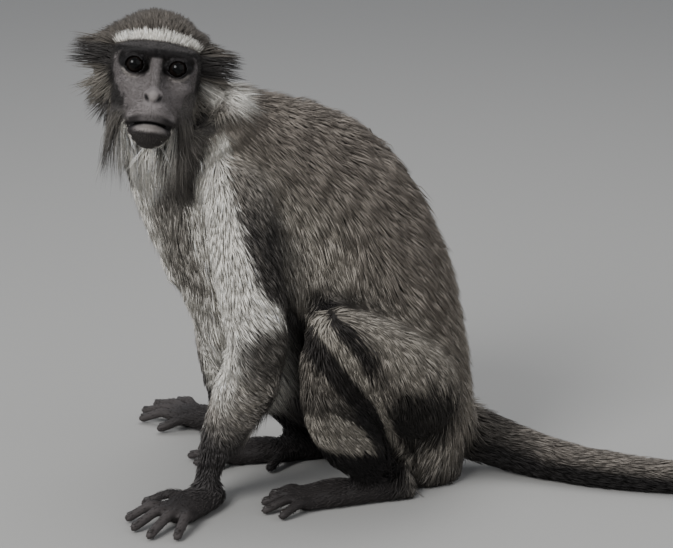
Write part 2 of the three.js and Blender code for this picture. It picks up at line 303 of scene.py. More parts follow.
@dataclass
class Skeleton:
    """The body's lines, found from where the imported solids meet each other."""

    touch: float = 1.6 * MM
    digits_apart: float = 11 * MM
    softness: float = 5 * MM
    digits: int = 5
    tips: dict[str, list[Array]] = field(default_factory=dict)
    joints: dict[str, Array] = field(default_factory=dict)

    def __post_init__(self) -> None:
        """Measures the solids and lays the bones."""
        self.solids = {name: points_of(thing) for name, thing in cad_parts.items()}
        self.bones: list[Bone] = []
        self._trunk_and_tail()
        for side, name in ((-1, "left"), (1, "right")):
            self._limbs(side, name)

    def meeting(self, a: str, b: str) -> Array:
        """Finds where two solids meet.

        Args:
            a: name of the solid whose points are tried.
            b: name of the solid that they have to touch.

        Returns:
            The middle of the points of a that touch b.
        """
        near = []
        for p in np.unique(self.solids[a].round(5), axis=0):
            found, spot, _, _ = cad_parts[b].closest_point_on_mesh(Vector(p))
            if found and (spot - Vector(p)).length < self.touch:
                near.append(p)
        ring = np.array(near)
        return (ring.min(0) + ring.max(0)) / 2

    def _add(self, part: Part, side: int, start: Array, end: Array, name: str) -> None:
        """Adds a bone whose radius is measured on a solid.

        Args:
            part: the part of the body it runs through.
            side: -1 left, 1 right, 0 in the middle.
            start: its upper or front end.
            end: its lower or rear end.
            name: the solid round it.
        """
        cloud = self.solids[name]
        bone = Bone(part, side, start, end, 0.0)
        share = bone.share(cloud)
        gaps = size(cloud - start - share[:, None] * bone.line)
        inside = (share > 0.05) & (share < 0.95)
        radius = float(np.median(gaps[inside] if inside.any() else gaps))
        self.bones.append(Bone(part, side, start, end, radius))

    def _farthest(self, cloud: Array, spot: Array) -> Array:
        """Returns the point of the cloud that lies farthest from a spot."""
        return cloud[np.argmax(size(cloud - spot))]

    def _trunk_and_tail(self) -> None:
        """Lays the bones from the head down to the tip of the tail."""
        names = ["neck", "chest", "abdomen", "rump"]
        cuts = [self.meeting(a, b) for a, b in zip(names, names[1:])]
        rump = self.solids["rump"]
        seat = np.array([(rump[:, 0].min() + rump[:, 0].max()) / 2, 0.0, 20 * MM])
        line = [np.array(sum(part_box("head"), Vector()) / 2), *cuts, seat]
        for name, a, b in zip(names, line, line[1:]):
            self._add(Part[name.upper()], 0, a, b, name)
        lengths = sorted(n for n in self.solids if n.startswith("tail_"))
        tail = [self.meeting(lengths[0], "rump")]
        tail += [self.meeting(a, b) for a, b in zip(lengths, lengths[1:])]
        tail.append(tail[-1] + (self._farthest(self.solids[lengths[-1]], tail[-1]) - tail[-1]) * 0.94)
        for name, a, b in zip(lengths, tail, tail[1:]):
            self._add(Part.TAIL, 0, a, b, name)
        self.joints.update(neck=cuts[0], tail=tail[0])

    def _limbs(self, side: int, name: str) -> None:
        """Lays the bones of one arm and one leg, and finds the tips of the fingers and toes.

        Args:
            side: -1 for the left limbs, 1 for the right ones.
            name: the word for that side in the solids' names.
        """
        elbow = self.meeting(f"{name}_upper_arm", f"{name}_forearm")
        wrist = self.meeting(f"{name}_forearm", f"{name}_hand")
        ankle = self.meeting(f"{name}_shank", f"{name}_foot")
        upper, thigh = self.solids[f"{name}_upper_arm"], self.solids[f"{name}_thigh"]
        top = self._farthest(upper, elbow)
        shoulder = elbow + (np.array([top[0], upper[:, 1].mean(), top[2]]) - elbow) * 0.86
        self._add(Part.UPPER_ARM, side, shoulder, elbow, f"{name}_upper_arm")
        self._add(Part.FOREARM, side, elbow, wrist, f"{name}_forearm")
        front = self._farthest(thigh, self.joints["tail"])
        back = self._farthest(thigh, front)
        knee = front + (back - front) * 0.14
        self._add(Part.THIGH, side, back + (front - back) * 0.24, knee, f"{name}_thigh")
        self._add(Part.SHANK, side, knee + (ankle - knee) * 0.08, ankle, f"{name}_shank")
        for part, start in ((Part.HAND, wrist), (Part.FOOT, ankle)):
            key = f"{name}_{part.name.lower()}"
            self.joints[key] = start
            self.tips[key] = self._tips(self.solids[key], start)
            low = start * [1, 1, 0] + 8 * MM * UP
            middle = np.array(self.tips[key]).mean(0) * [1, 1, 0] + 6 * MM * UP
            self.bones.append(Bone(part, side, low, low + (middle - low) * 0.9, 14 * MM))

    def _tips(self, cloud: Array, start: Array) -> list[Array]:
        """Finds the tips of the digits of a hand or foot: the farthest points that lie apart.

        Args:
            cloud: the solid's points.
            start: the wrist or ankle.

        Returns:
            The five tips, the farthest first.
        """
        flat = cloud - start
        found: list[Array] = []
        for i in np.argsort(-size(flat[:, :2])):
            away = all(np.linalg.norm((cloud[i] - f)[:2]) > self.digits_apart for f in found)
            turn = all(unit(flat[i, :2]) @ unit((f - start)[:2]) < 0.985 for f in found)
            if away and turn:
                found.append(cloud[i])
            if len(found) == self.digits:
                break
        return found

    def read(self, p: Array) -> tuple[Array, Array]:
        """Tells how much each bone has to do with each point.

        Args:
            p: points, in metres.

        Returns:
            The share of each bone at each point, and how far along each bone the point is.
        """
        gap = np.empty((len(p), len(self.bones)))
        along = np.empty_like(gap)
        for i, bone in enumerate(self.bones):
            along[:, i] = bone.share(p)
            away = p - bone.start - along[:, i, None] * bone.line
            if bone.side == 0 and bone.part != Part.TAIL:
                away = away * [1.0, 1.25, 1.0]
            gap[:, i] = size(away) - bone.radius
        gap -= gap.min(1, keepdims=True)
        weight = np.exp(-gap / self.softness)
        return weight / weight.sum(1, keepdims=True), along

    def shares(self, weight: Array, *parts: Part, side: int | None = None) -> Array:
        """Sums the shares of some parts' bones.

        Args:
            weight: the share of each bone at each point.
            parts: the parts of the body that count.
            side: the one side that counts, or none for all.

        Returns:
            Their share of each point.
        """
        total = 0
        for part in parts:
            keep = [b.part == part and side in (None, b.side) for b in self.bones]
            total = total + weight[:, keep].sum(1)
        return total


@dataclass
class HeadFrame:
    """The head's own axes, forward, left and up, from a point between the eyes, in millimetres."""

    eye_forward: float = -9.5
    eye_up: float = -0.5
    ear_up: float = -0.5
    ear_forward: float = -52.0
    middle: Triple = (-36, 0, -12)

    def __post_init__(self) -> None:
        """Finds the axes from the eye and ear solids."""
        mid = {}
        for name in ("left_eye", "right_eye", "left_ear", "right_ear"):
            cloud = points_of(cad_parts[name])
            mid[name] = (cloud.min(0) + cloud.max(0)) / 2
        eyes = (mid["left_eye"] + mid["right_eye"]) / 2
        ears = (mid["left_ear"] + mid["right_ear"]) / 2
        across = mid["left_eye"] - mid["right_eye"]
        left = unit(across)
        rough = unit(eyes - ears - left * ((eyes - ears) @ left))
        rise = math.atan2(self.eye_up - self.ear_up, self.eye_forward - self.ear_forward)
        forward = rough * math.cos(rise) - np.cross(rough, left) * math.sin(rise)
        up = np.cross(forward, left)
        self.axes = np.array([forward, left, up])
        self.origin = eyes - (forward * self.eye_forward + up * self.eye_up) * MM
        self.eye_half = float(np.linalg.norm(across)) / 2 / MM

    def inside(self, p: Array) -> Array:
        """Returns world points, in metres, as forward, left and up in millimetres."""
        return (p - self.origin) @ self.axes.T / MM

    def outside(self, q: Array) -> Array:
        """Returns points of the head's frame, in millimetres, as world points in metres."""
        return q * MM @ self.axes + self.origin


# ---------------------------------------------------------------- the bare head
def smin(a: Array, b: Array, k: float) -> Array:
    """Returns the lesser of two distances, rounded over k where they are close."""
    h = np.maximum(k - np.abs(a - b), 0.0) / k
    return np.minimum(a, b) - h * h * k * 0.25


def smax(a: Array, b: Array, k: float) -> Array:
    """Returns the greater of two distances, rounded over k where they are close."""
    return -smin(-a, -b, k)


def most(*shares: Array) -> Array:
    """Returns the greatest of several values at each place."""
    return np.maximum.reduce(np.broadcast_arrays(*shares))


def egg(p: Array, centre: Triple, radii: Triple) -> Array:
    """Measures the distance to an egg shape.

    Args:
        p: points.
        centre: the egg's middle.
        radii: its half axes.

    Returns:
        The distance, less than 0 inside.
    """
    q = (p - centre) / radii
    k0 = size(q)
    return k0 * (k0 - 1.0) / np.maximum(size(q / radii), 1e-9)


def rod(p: Array, a: Triple, b: Triple, ra: float, rb: float) -> Array:
    """Measures the distance to a round rod that tapers.

    Args:
        p: points.
        a: middle of its first end.
        b: middle of its second end.
        ra: radius at the first end.
        rb: radius at the second end.

    Returns:
        The distance, less than 0 inside.
    """
    line = np.subtract(b, a).astype(float)
    t = np.clip((p - a) @ line / (line @ line), 0.0, 1.0)
    return size(p - a - t[:, None] * line) - (ra + (rb - ra) * t)


def engrave(d: Array, line: Array, depth: float, soft: float = 0.8) -> Array:
    """Returns the distance with a groove cut along a line, to a depth below the surface."""
    return smax(d, -np.maximum(line, -d - depth), soft)


@dataclass
class HeadShape:
    """The bare head under the coat, as a distance in the head's own frame, in millimetres."""

    eye_half: float
    neck_to: Array
    eye_radius: float = 9.0
    eye_forward: float = -9.5
    eye_up: float = -0.5
    lid: float = 1.7
    upper_lid: float = 5.6
    lower_lid: float = -6.4
    lid_half: float = 6.8
    mouth_up: float = -42.0
    mouth_half: float = 18.0
    mouth_drop: float = 4.8
    ear_at: Triple = (-54.0, 39.5, -1.0)
    ear_turn: float = math.radians(32)

    def skull(self, q: Array) -> Array:
        """Shapes skull, brow, cheeks and muzzle.

        Args:
            q: points on the left half of the head's frame.

        Returns:
            The distance, before the finer features.
        """
        d = egg(q, (-48, 0, 2), (41, 35, 33.5))
        d = smin(d, egg(q, (-25, 0, -17), (21, 25.5, 31)), 10)
        d = smin(d, egg(q, (-30, 17, -30), (19, 12.5, 20)), 8)
        d = smin(d, rod(q, (-4.6, 3, 10.5), (-9.5, 24, 8.5), 5.6, 5.6), 6)
        d = smin(d, egg(q, (-14.5, 18.5, -15), (9.5, 9.5, 7.5)), 7)
        d = smax(d, -egg(q, (4, self.eye_half - 0.5, self.eye_up + 0.5), (10.5, 9.8, 7.4)), 4)
        d = smax(d, -egg(q, (-1, 7.2, -8), (5, 3.2, 9)), 3)
        d = smin(d, rod(q, (-6, 0, 5), (14, 0, -19), 3.0, 3.6), 4)
        d = smin(d, rod(q, (-16, 0, -27), (8.5, 0, -35), 19, 13.2), 9)
        return smin(d, rod(q, (-34, 0, -38), (-5, 0, -48), 17, 12.5), 8)

    def nose(self, q: Array, d: Array) -> Array:
        """Adds the tip of the nose, its wings and nostrils.

        Args:
            q: points on the left half of the head's frame.
            d: the distance so far.

        Returns:
            The new distance.
        """
        d = smin(d, egg(q, (17.5, 0, -23), (5.2, 4.6, 4.8)), 3)
        d = smin(d, egg(q, (15, 4.2, -22.5), (4.2, 3.4, 4.2)), 2.5)
        return smax(d, -rod(q, (19.2, 5.0, -22.0), (20.4, 2.2, -26.6), 1.35, 0.9), 0.8)

    def mouth(self, q: Array, d: Array) -> Array:
        """Adds both lips, the chin, the line of the mouth and the fold above it.

        Args:
            q: points on the left half of the head's frame.
            d: the distance so far.

        Returns:
            The new distance.
        """
        d = smin(d, rod(q, (14, 0, -35.8), (7, 12.5, -39), 7.2, 5.4), 4)
        d = smin(d, rod(q, (10.2, 0, -46.6), (4, 12, -48.8), 5.4, 4.0), 2.5)
        d = smin(d, egg(q, (2, 0, -52.5), (9.5, 12.5, 8.0)), 5)
        line = self.mouth_up - self.mouth_drop * (q[:, 1] / self.mouth_half) ** 2
        slit = most(np.abs(q[:, 2] - line) - 0.7, np.abs(q[:, 1]) - self.mouth_half, -4.0 - q[:, 0])
        d = engrave(d, slit, 2.6, 1.2)
        return engrave(d, most(np.abs(q[:, 1]) - 0.3, np.abs(q[:, 2] + 33.5) - 4, -q[:, 0]), 0.5)

    def eyes(self, q: Array, d: Array) -> Array:
        """Adds the lids round the eyes, their creases and the openings between them.

        Args:
            q: points on the left half of the head's frame.
            d: the distance so far.

        Returns:
            The new distance.
        """
        e = q - [self.eye_forward, self.eye_half, self.eye_up]
        ball, aside = size(e), np.abs(e[:, 1]) - self.lid_half
        height = e[:, 2] - 0.06 * e[:, 1]
        arch = np.sqrt(np.clip(1.0 - (e[:, 1] / self.lid_half) ** 2, 0.0, 1.0))
        top, bottom = height - self.upper_lid * arch, height - self.lower_lid * arch
        d = smin(d, ball - self.eye_radius - self.lid, 2.0)
        d = smin(d, most(np.abs(ball - self.eye_radius - 1.0) - 0.9, np.abs(top) - 0.8), 1.0)
        beyond = most(aside - 1.5, -e[:, 0])
        d = engrave(d, most(np.abs(top - 2.6) - 0.25, beyond), 0.7, 0.9)
        d = engrave(d, most(np.abs(bottom + 2.4) - 0.2, beyond), 0.5, 0.9)
        return smax(d, -most(top, -bottom, aside, ball - 14.0, -e[:, 0] - 1.0), 0.5)

    def ear(self, q: Array, d: Array) -> Array:
        """Adds the thin, cupped ears.

        Args:
            q: points on the left half of the head's frame.
            d: the distance so far.

        Returns:
            The new distance.
        """
        r, cos, sin = q - self.ear_at, math.cos(self.ear_turn), math.sin(self.ear_turn)
        local = np.stack([r[:, 0] * cos + r[:, 1] * sin, -r[:, 0] * sin + r[:, 1] * cos, r[:, 2]], 1)
        shell = egg(local, (0, 0, 0), (2.4, 9.5, 12.5))
        shell = smax(shell, -egg(local, (2.3, 0.5, 0.5), (2.5, 7.0, 9.4)), 1.0)
        return smin(d, shell, 2.5)

    def field(self, p: Array) -> Array:
        """Measures the distance to the bare head and the top of the neck.

        Args:
            p: points in the head's frame.

        Returns:
            The distance at each point, less than 0 inside.
        """
        q = np.stack([p[:, 0], np.abs(p[:, 1]), p[:, 2]], 1)
        d = self.ear(q, self.mouth(q, self.nose(q, self.skull(q))))
        d = smin(d, rod(p, (-58, 0, -8), tuple(self.neck_to), 29, 33), 16)
        return self.eyes(q, d)


@dataclass(frozen=True)
class Net:
    """Turns a distance into a closed mesh of even squares, by one vertex in each cell it crosses."""

    low: Triple
    high: Triple
    step: float

    @staticmethod
    def _tangled() -> Array:
        """Finds the ways a cell's corners can lie in which two sheets would meet in the cell.

        Returns:
            A yes or no for each of the 256 ways.
        """
        corners = [(a, b, c) for a in (0, 1) for b in (0, 1) for c in (0, 1)]
        near = [
            [j for j in range(8) if sum(x != y for x, y in zip(corners[i], corners[j])) == 1]
            for i in range(8)
        ]
        flats = [[i for i in range(8) if corners[i][k] == v] for k in range(3) for v in (0, 1)]
        table = np.zeros(256, dtype=bool)
        for code in range(256):
            for kind in (0, 1):
                group = [i for i in range(8) if (code >> i) & 1 == kind]
                seen = group[:1]
                for i in seen:
                    seen += [j for j in near[i] if j in group and j not in seen]
                table[code] |= len(seen) != len(group)
            for flat in flats:
                table[code] |= [(code >> i) & 1 for i in flat] in ([1, 0, 0, 1], [0, 1, 1, 0])
        return table

    def _settle(self, value: Array) -> None:
        """Fills the few cells where two sheets would meet, so that the mesh stays sound.

        Args:
            value: the distances on the grid, changed in those cells only.
        """
        table = self._tangled()
        ends = [slice(v, v - 1 or None) for v in (0, 1)]
        parts = [(a, b, c) for a in ends for b in ends for c in ends]
        for _ in range(10):
            code = sum((value[part] < 0).astype(int) << i for i, part in enumerate(parts))
            bad = table[code]
            if not bad.any():
                break
            for part in parts:
                corner = value[part]
                corner[bad] = np.minimum(corner[bad], -0.05)

    def mesh(self, distance: Callable[[Array], Array]) -> tuple[Array, Array]:
        """Builds the mesh.

        Args:
            distance: gives the signed distance for rows of points, negative inside.

        Returns:
            The points, and the squares as vertex numbers, facing outwards.
        """
        axes = [np.arange(a, b + self.step, self.step) for a, b in zip(self.low, self.high)]
        grid = np.stack(np.meshgrid(*axes, indexing="ij"), -1)
        value = distance(grid.reshape(-1, 3)).reshape(grid.shape[:3])
        for axis in range(3):
            np.moveaxis(value, axis, 0)[[0, -1]] = 1.0
        self._settle(value)
        count = np.zeros(tuple(n - 1 for n in value.shape))
        total = np.zeros(count.shape + (3,))
        crossings = []
        for axis in range(3):
            low, high = [slice(None)] * 3, [slice(None)] * 3
            low[axis], high[axis] = slice(0, -1), slice(1, None)
            a, b = value[tuple(low)], value[tuple(high)]
            cross = (a < 0) != (b < 0)
            index = np.argwhere(cross)
            spot = np.stack([axes[k][index[:, k]] for k in range(3)], 1)
            spot[:, axis] += a[cross] / (a[cross] - b[cross]) * self.step
            cells = []
            for shift in ((0, 0), (1, 0), (1, 1), (0, 1)):
                cells.append(index - np.insert(shift, axis, 0))
            ok = np.all([((c >= 0) & (c < count.shape)).all(1) for c in cells], 0)
            cells = [c[ok] for c in cells]
            for cell in cells:
                np.add.at(total, tuple(cell.T), spot[ok])
                np.add.at(count, tuple(cell.T), 1)
            crossings.append((cells, (a[cross] < 0)[ok] != (axis == 1)))
        used = count > 0
        number = np.full(count.shape, -1)
        number[used] = np.arange(used.sum())
        faces = []
        for cells, outward in crossings:
            quad = np.stack([number[tuple(c.T)] for c in cells], 1)
            quad[~outward] = quad[~outward][:, ::-1]
            faces.append(quad)
        return total[used] / count[used][:, None], np.concatenate(faces)


# ---------------------------------------------------------------- the skin
@dataclass
class BodySkin:
    """One skin over trunk, limbs, tail and head, inside the solids by the depth of the coat."""

    skeleton: Skeleton
    head: HeadFrame
    voxel: float = 1.9 * MM
    most_triangles: int = 186000
    swell: float = 0.45 * MM
    steps: int = 6
    join_points: float = 0.02 * MM
    neck_offset: Triple = (-6.0, 0.0, 22.0)
    head_net: Net = Net((-96.0, -64.0, -78.0), (28.0, 64.0, 44.0), 0.85)
    depth: dict[Part, float] = field(
        default_factory=lambda: {
            Part.NECK: 13.0,
            Part.CHEST: 11.0,
            Part.ABDOMEN: 10.0,
            Part.RUMP: 9.0,
            Part.TAIL: 4.5,
            Part.UPPER_ARM: 7.5,
            Part.FOREARM: 5.5,
            Part.HAND: 0.2,
            Part.THIGH: 7.5,
            Part.SHANK: 5.0,
            Part.FOOT: 0.3,
        }
    )

    def flesh(self) -> list[str]:
        """Returns the names of the solids that this skin stands for."""
        return [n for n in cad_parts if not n.endswith("_eye")]

    def _joined_solids(self) -> Thing:
        """Joins copies of the body's solids, swollen a little so that their gaps close.

        Returns:
            The joined copies, without head and ears.
        """
        copies = []
        for name in self.flesh():
            if name == "head" or name.endswith("_ear"):
                continue
            thing = place("skin_" + name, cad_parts[name].data.copy())
            select_only(thing)
            bpy.ops.object.mode_set(mode="EDIT")
            bpy.ops.mesh.select_all(action="SELECT")
            bpy.ops.mesh.remove_doubles(threshold=self.join_points)
            bpy.ops.object.mode_set(mode="OBJECT")
            set_points(thing, points_of(thing) + normals_of(thing) * self.swell)
            copies.append(thing)
        select_only(*copies)
        bpy.ops.object.join()
        copies[0].data.materials.clear()
        return copies[0]

    def _remesh(self, body: Thing, rounds: int) -> None:
        """Gives the body even faces of one size and smooths their steps away.

        Args:
            body: the mesh to work on.
            rounds: how often it is smoothed.
        """
        work(body, "REMESH", mode="VOXEL", voxel_size=self.voxel)
        work(body, "SMOOTH", factor=0.5, iterations=rounds)

    def _shrink(self, body: Thing) -> None:
        """Draws the surface in, step by step, by the depth of the coat at each place.

        Args:
            body: the mesh to work on.
        """
        p = points_of(body)
        deep = np.array([self.depth[b.part] for b in self.skeleton.bones]) * MM
        amount = self.skeleton.read(p)[0] @ deep * ease(p[:, 2], 1 * MM, 24 * MM)
        for _ in range(self.steps):
            set_points(body, points_of(body) - normals_of(body) * (amount / self.steps)[:, None])
            work(body, "SMOOTH", factor=0.35, iterations=1)

    def _head(self) -> Thing:
        """Makes the bare head as a net of fine squares in its own place.

        Returns:
            The head, a closed mesh.
        """
        neck = self.skeleton.joints["neck"] + np.array(self.neck_offset) * MM
        shape = HeadShape(self.head.eye_half, self.head.inside(neck))
        points, faces = self.head_net.mesh(shape.field)
        return mesh_object("bare_head", self.head.outside(points), faces)

    def _group(self, body: Thing, name: str, weight: Array) -> None:
        """Keeps a weight for each vertex of the body as a vertex group, in ten steps.

        Args:
            body: the mesh.
            name: the group's name.
            weight: one number from 0 to 1 for each vertex.
        """
        group = body.vertex_groups.new(name=name)
        level = np.round(weight * 10).astype(int)
        for step in range(1, 11):
            group.add(np.flatnonzero(level == step).tolist(), step / 10, "REPLACE")

    def _blend_neck(self, body: Thing) -> None:
        """Smooths the join of head and neck, and leaves the face as it is.

        Args:
            body: the mesh to work on.
        """
        q = self.head.inside(points_of(body))
        near = hat(size(q - self.head.middle), 60.0, 14.0, 10.0) * ease(q[:, 0], -22, -34)
        self._group(body, "neck", near)
        work(body, "SMOOTH", factor=0.5, iterations=60, vertex_group="neck")

    def _thin_out(self, body: Thing) -> None:
        """Takes faces out under the long coat and keeps those of face, hands and feet.

        Args:
            body: the mesh to work on.
        """
        p = points_of(body)
        q = self.head.inside(p)
        keep = self.skeleton.shares(self.skeleton.read(p)[0], Part.HAND, Part.FOOT)
        face = ease(size(q - [-6, 0, -24]), 52, 44) * ease(q[:, 0], -34, -26)
        self._group(body, "coarse", 1.0 - np.clip(np.maximum(keep, face), 0, 1))
        body.data.calc_loop_triangles()
        ratio = min(self.most_triangles / len(body.data.loop_triangles), 1.0)
        work(body, "DECIMATE", ratio=ratio, vertex_group="coarse", vertex_group_factor=1.0)
        body.vertex_groups.clear()

    def build(self) -> Thing:
        """Makes the skin.

        Returns:
            The finished skin, one closed mesh.
        """
        body = self._joined_solids()
        self._remesh(body, 6)
        self._shrink(body)
        self._remesh(body, 2)
        head = self._head()
        work(body, "BOOLEAN", operation="UNION", solver="MANIFOLD", object=head)
        bpy.data.objects.remove(head)
        self._blend_neck(body)
        self._thin_out(body)
        body.name = body.data.name = "skin"
        for layer in [a for a in body.data.attributes if a.name.startswith("sharp")]:
            body.data.attributes.remove(layer)
        smooth_over(body.data)
        return body


# ---------------------------------------------------------------- markings and the lie of the coat
def tone(red: int, green: int, blue: int) -> Array:
    """Returns a colour, given in steps of 255 as painters mix it, as linear light."""
    c = np.array([red, green, blue]) / 255.0
    return np.where(c < 0.04045, c / 12.92, ((c + 0.055) / 1.055) ** 2.4)


def tint(red: int, green: int, blue: int) -> Array:
    """Returns a dataclass field that holds such a colour."""
    return field(default_factory=lambda: tone(red, green, blue))


@dataclass(frozen=True)
class Tints:
    """The colours of coat and skin."""

    back: Array = tint(138, 130, 121)
    flank: Array = tint(168, 161, 150)
    shoulder: Array = tint(136, 130, 122)
    crown: Array = tint(106, 100, 93)
    white: Array = tint(232, 228, 219)
    ruff: Array = tint(150, 144, 134)
    collar: Array = tint(74, 71, 69)
    black: Array = tint(30, 28, 28)
    smoke: Array = tint(76, 73, 72)
    breast: Array = tint(166, 161, 153)
    arm: Array = tint(186, 179, 169)
    thigh: Array = tint(122, 116, 108)
    tail: Array = tint(134, 127, 119)
    tail_under: Array = tint(44, 42, 41)
    hand: Array = tint(66, 62, 61)
    # face: black skin painted mid-grey; the grey is painted sheen
    face: Array = tint(102, 97, 96)
    orbit: Array = tint(22, 20, 20)
    lip: Array = tint(143, 137, 133)


@dataclass
class Growth:
    """What grows at each place: its colours, its size and how it lies; lengths in millimetres."""

    head: Array
    weight: Array
    along: Array
    root: Array
    tip: Array
    skin: Array
    lay: Array
    length: Array
    width: Array
    lift: Array
    stand: Array
    thick: Array
    bare: Array
    uneven: Array

    @classmethod
    def blank(cls, head: Array, weight: Array, along: Array) -> "Growth":
        """Returns growth with nothing on it yet, for places with these shares of head and bones."""
        rows, values = np.zeros((4, len(head), 3)), np.zeros((7, len(head)))
        return cls(head, weight, along, *rows, *values)

    def pick(self, chosen: Array) -> "Growth":
        """Returns the growth at the chosen places only."""
        return Growth(*(getattr(self, entry.name)[chosen] for entry in fields(self)))

    def add(self, share: Array, **values: Array) -> None:
        """Adds to some entries.

        Args:
            share: how much of each value counts at each place.
            values: the entries with what they gain.
        """
        for name, value in values.items():
            entry = getattr(self, name)
            entry += (share[:, None] if entry.ndim > 1 else share) * value

    def change(self, share: Array, **values: Array) -> None:
        """Draws some entries toward new values.

        Args:
            share: how far they go at each place, from 0 to 1.
            values: the entries with their new values.
        """
        for name, value in values.items():
            entry = getattr(self, name)
            part = share[:, None] if entry.ndim > 1 else share
            setattr(self, name, entry * (1 - part) + value * part)


@dataclass
class Pelt:
    """The coat's markings, length and lie as they change over the body.

    The levels and lines are in millimetres, those of face and head in the head's own frame.
    """

    skeleton: Skeleton
    head: HeadFrame
    tints: Tints = field(default_factory=Tints)
    face_levels: tuple[float, ...] = (-66, -62, -56, -50, -41, -30, -22, -15, -7, 0, 8, 13)
    face_halves: tuple[float, ...] = (-4, 6, 13, 17, 19.5, 20.5, 25, 30.5, 34, 33, 29.5, -4)
    band_levels: tuple[float, ...] = (150, 163, 178, 194, 216, 243, 263, 283, 297, 306)
    band_front: tuple[float, ...] = (-204, -203, -201, -203, -213, -215, -209, -206, -194, -187)
    band_rear: tuple[float, ...] = (-150, -148, -151, -168, -175, -180, -184, -184, -181, -184)
    bib_levels: tuple[float, ...] = (100, 165, 178, 196, 218, 234, 254, 262, 273, 291, 305)
    bib_middle: tuple[float, ...] = (0, 0, 0, 0, 0, 2, -6, -18, -24, -25, -25)
    bib_half: tuple[float, ...] = (36, 34, 14, 13, 16, 18, 18, 14, 11, 11, 12)
    patch_at: Triple = (-176, 30, 339)
    stripe_levels: tuple[float, ...] = (30, 37, 53, 79, 101, 121, 141, 159, 172, 180)
    stripe_line: tuple[float, ...] = (-43, -46, -55, -67, -78, -92, -104, -118, -128, -134)
    stripe_half: tuple[float, ...] = (0, 2.4, 2.6, 2.2, 2.8, 4.6, 5.8, 6.2, 6.2, 0)
    pane_across: tuple[float, ...] = (-134, -129, -116, -104, -86, -68, -62)
    pane_top: tuple[float, ...] = (88, 96, 98, 91, 76, 57, 50)
    pane_low: tuple[float, ...] = (76, 66, 60, 57, 53, 50, 50)
    trunk_hair: dict[Part, float] = field(
        default_factory=lambda: {Part.NECK: 20.0, Part.CHEST: 23.0, Part.ABDOMEN: 26.0, Part.RUMP: 23.0}
    )

    @staticmethod
    def brow_line(a: Array) -> Array:
        """Returns the height of the pale brow band's roots at a distance from the middle."""
        return 20.2 - 0.0052 * a**2

    @staticmethod
    def streaks(p: Array, seed: int) -> Array:
        """Returns a fine variation drawn out downwards, for edges that follow the hair."""
        return ripple(p * [1, 1, 0.3], 3.5 * MM, seed) + 0.7 * ripple(p * [1, 1, 0.4], 9 * MM, seed + 1)

    def face_gap(self, q: Array) -> Array:
        """Measures how far outside the bare face a point is.

        Args:
            q: points in the head's frame.

        Returns:
            The distance in millimetres, less than 0 on the bare face.
        """
        half = np.interp(q[:, 2], self.face_levels, self.face_halves)
        behind = np.maximum(-30.0 - q[:, 0], 0.0)
        ragged = 1.6 * ripple(q * MM * [1, 1, 0.7], 3.2 * MM, 33) + 1.4 * ripple(q * MM, 8 * MM, 34)
        return np.abs(q[:, 1]) - half + behind * 2.0 + ragged * ease(q[:, 2], 12, 4)

    def _head_colours(self, q: Array, g: Growth) -> None:
        """Paints the head's markings over the body's, with painted light on the left lower cheek and the
        throat.

        Args:
            q: points in the head's frame.
            g: the growth at those points, changed in place.
        """
        t = self.tints
        f, a, u = q[:, 0], np.abs(q[:, 1]), q[:, 2]
        gap, line, front = self.face_gap(q), self.brow_line(a), ease(f, -44, -32)
        far, high = ease(q[:, 1], -6, -14), ease(u, -26, -12)
        ruff = ease(gap, 6, 12) * ease(u, -2, -12) * ease(f, -72, -56)
        edge = np.interp(gap, (12, 20, 40), (-51, -41, -29))
        low = ease(u - edge, 5, -7) * ease(a, 18, 26)
        cheek = hat(gap, 4.0 + 5.0 * far, 6.0 + 7.0 * high + 3.0 * far, 6.0)
        cheek *= ease(u, 24, 14) * ease(u, -54, -40)
        # Painted light: on the lower cheek the dark band is painted lighter on the head's left side than on
        # its right, lifting the shade that falls there beside the muzzle.
        depth = 2.6 - 1.8 * high - 1.8 * far * (1 - high) * ease(u, -38, -30)
        half = 3.5 * np.sqrt(np.clip(1 - (a / 42) ** 2, 0, 1))
        band = ease(np.abs(u - line - 2.8) - half, 1.4, -0.6) * front * ease(a, 41, 33)
        throat = ease(u, -50, -56) * ease(a, 25, 19) * ease(f, -66, -48) * ease(gap, -1, 3)
        jaw_edge = hat(gap, 2.6, 2.6, 1.6) * ease(u, -45, -49)
        colour = layered(
            np.tile(t.crown, (len(q), 1)),
            (t.ruff, ruff),
            (t.collar, low * 0.9),
            (t.collar * depth[:, None], cheek),
            (t.collar * 1.25, hat(gap, 9.0, 6.0, 4.0) * ease(u, -50, -58)),
            (t.collar, ease(a, 24, 31) * hat(u, 4.0, 6.0, 5.0) * ease(f, -66, -52)),
            (t.collar, ease(f, -62, -78) * ease(u, 24, 6) * 0.6),
            (t.smoke * 1.2, ease(u, line - 1.5, line - 3.0) * ease(u, 8, 11) * front * ease(a, 34, 27)),
            (t.black * 1.3, hat(u, 9.0, 2.0, 2.5) * front * ease(a, 34, 28) * 0.9),
            (t.white, band * 0.92),
            # Painted light: the white throat and jaw edge are brightened past plain white where the chin
            # shades them.
            (t.white * 1.15, np.maximum(throat, jaw_edge * 0.8)),
        )
        hanging = hat(u, -60, 10, 6) * ease(a, 18, 26) * (1 - throat)
        root = layered(
            self.at_root(colour),
            # Painted light: under the chin the roots take the tip's colour, so the shaded throat reads
            # bright.
            (colour, throat),
            (t.black * 1.5, ruff * 0.8 * ease(gap, 8, 16)),
            (t.ruff * 0.55, hanging * 0.8),
        )
        g.change(g.head, tip=colour, root=root)

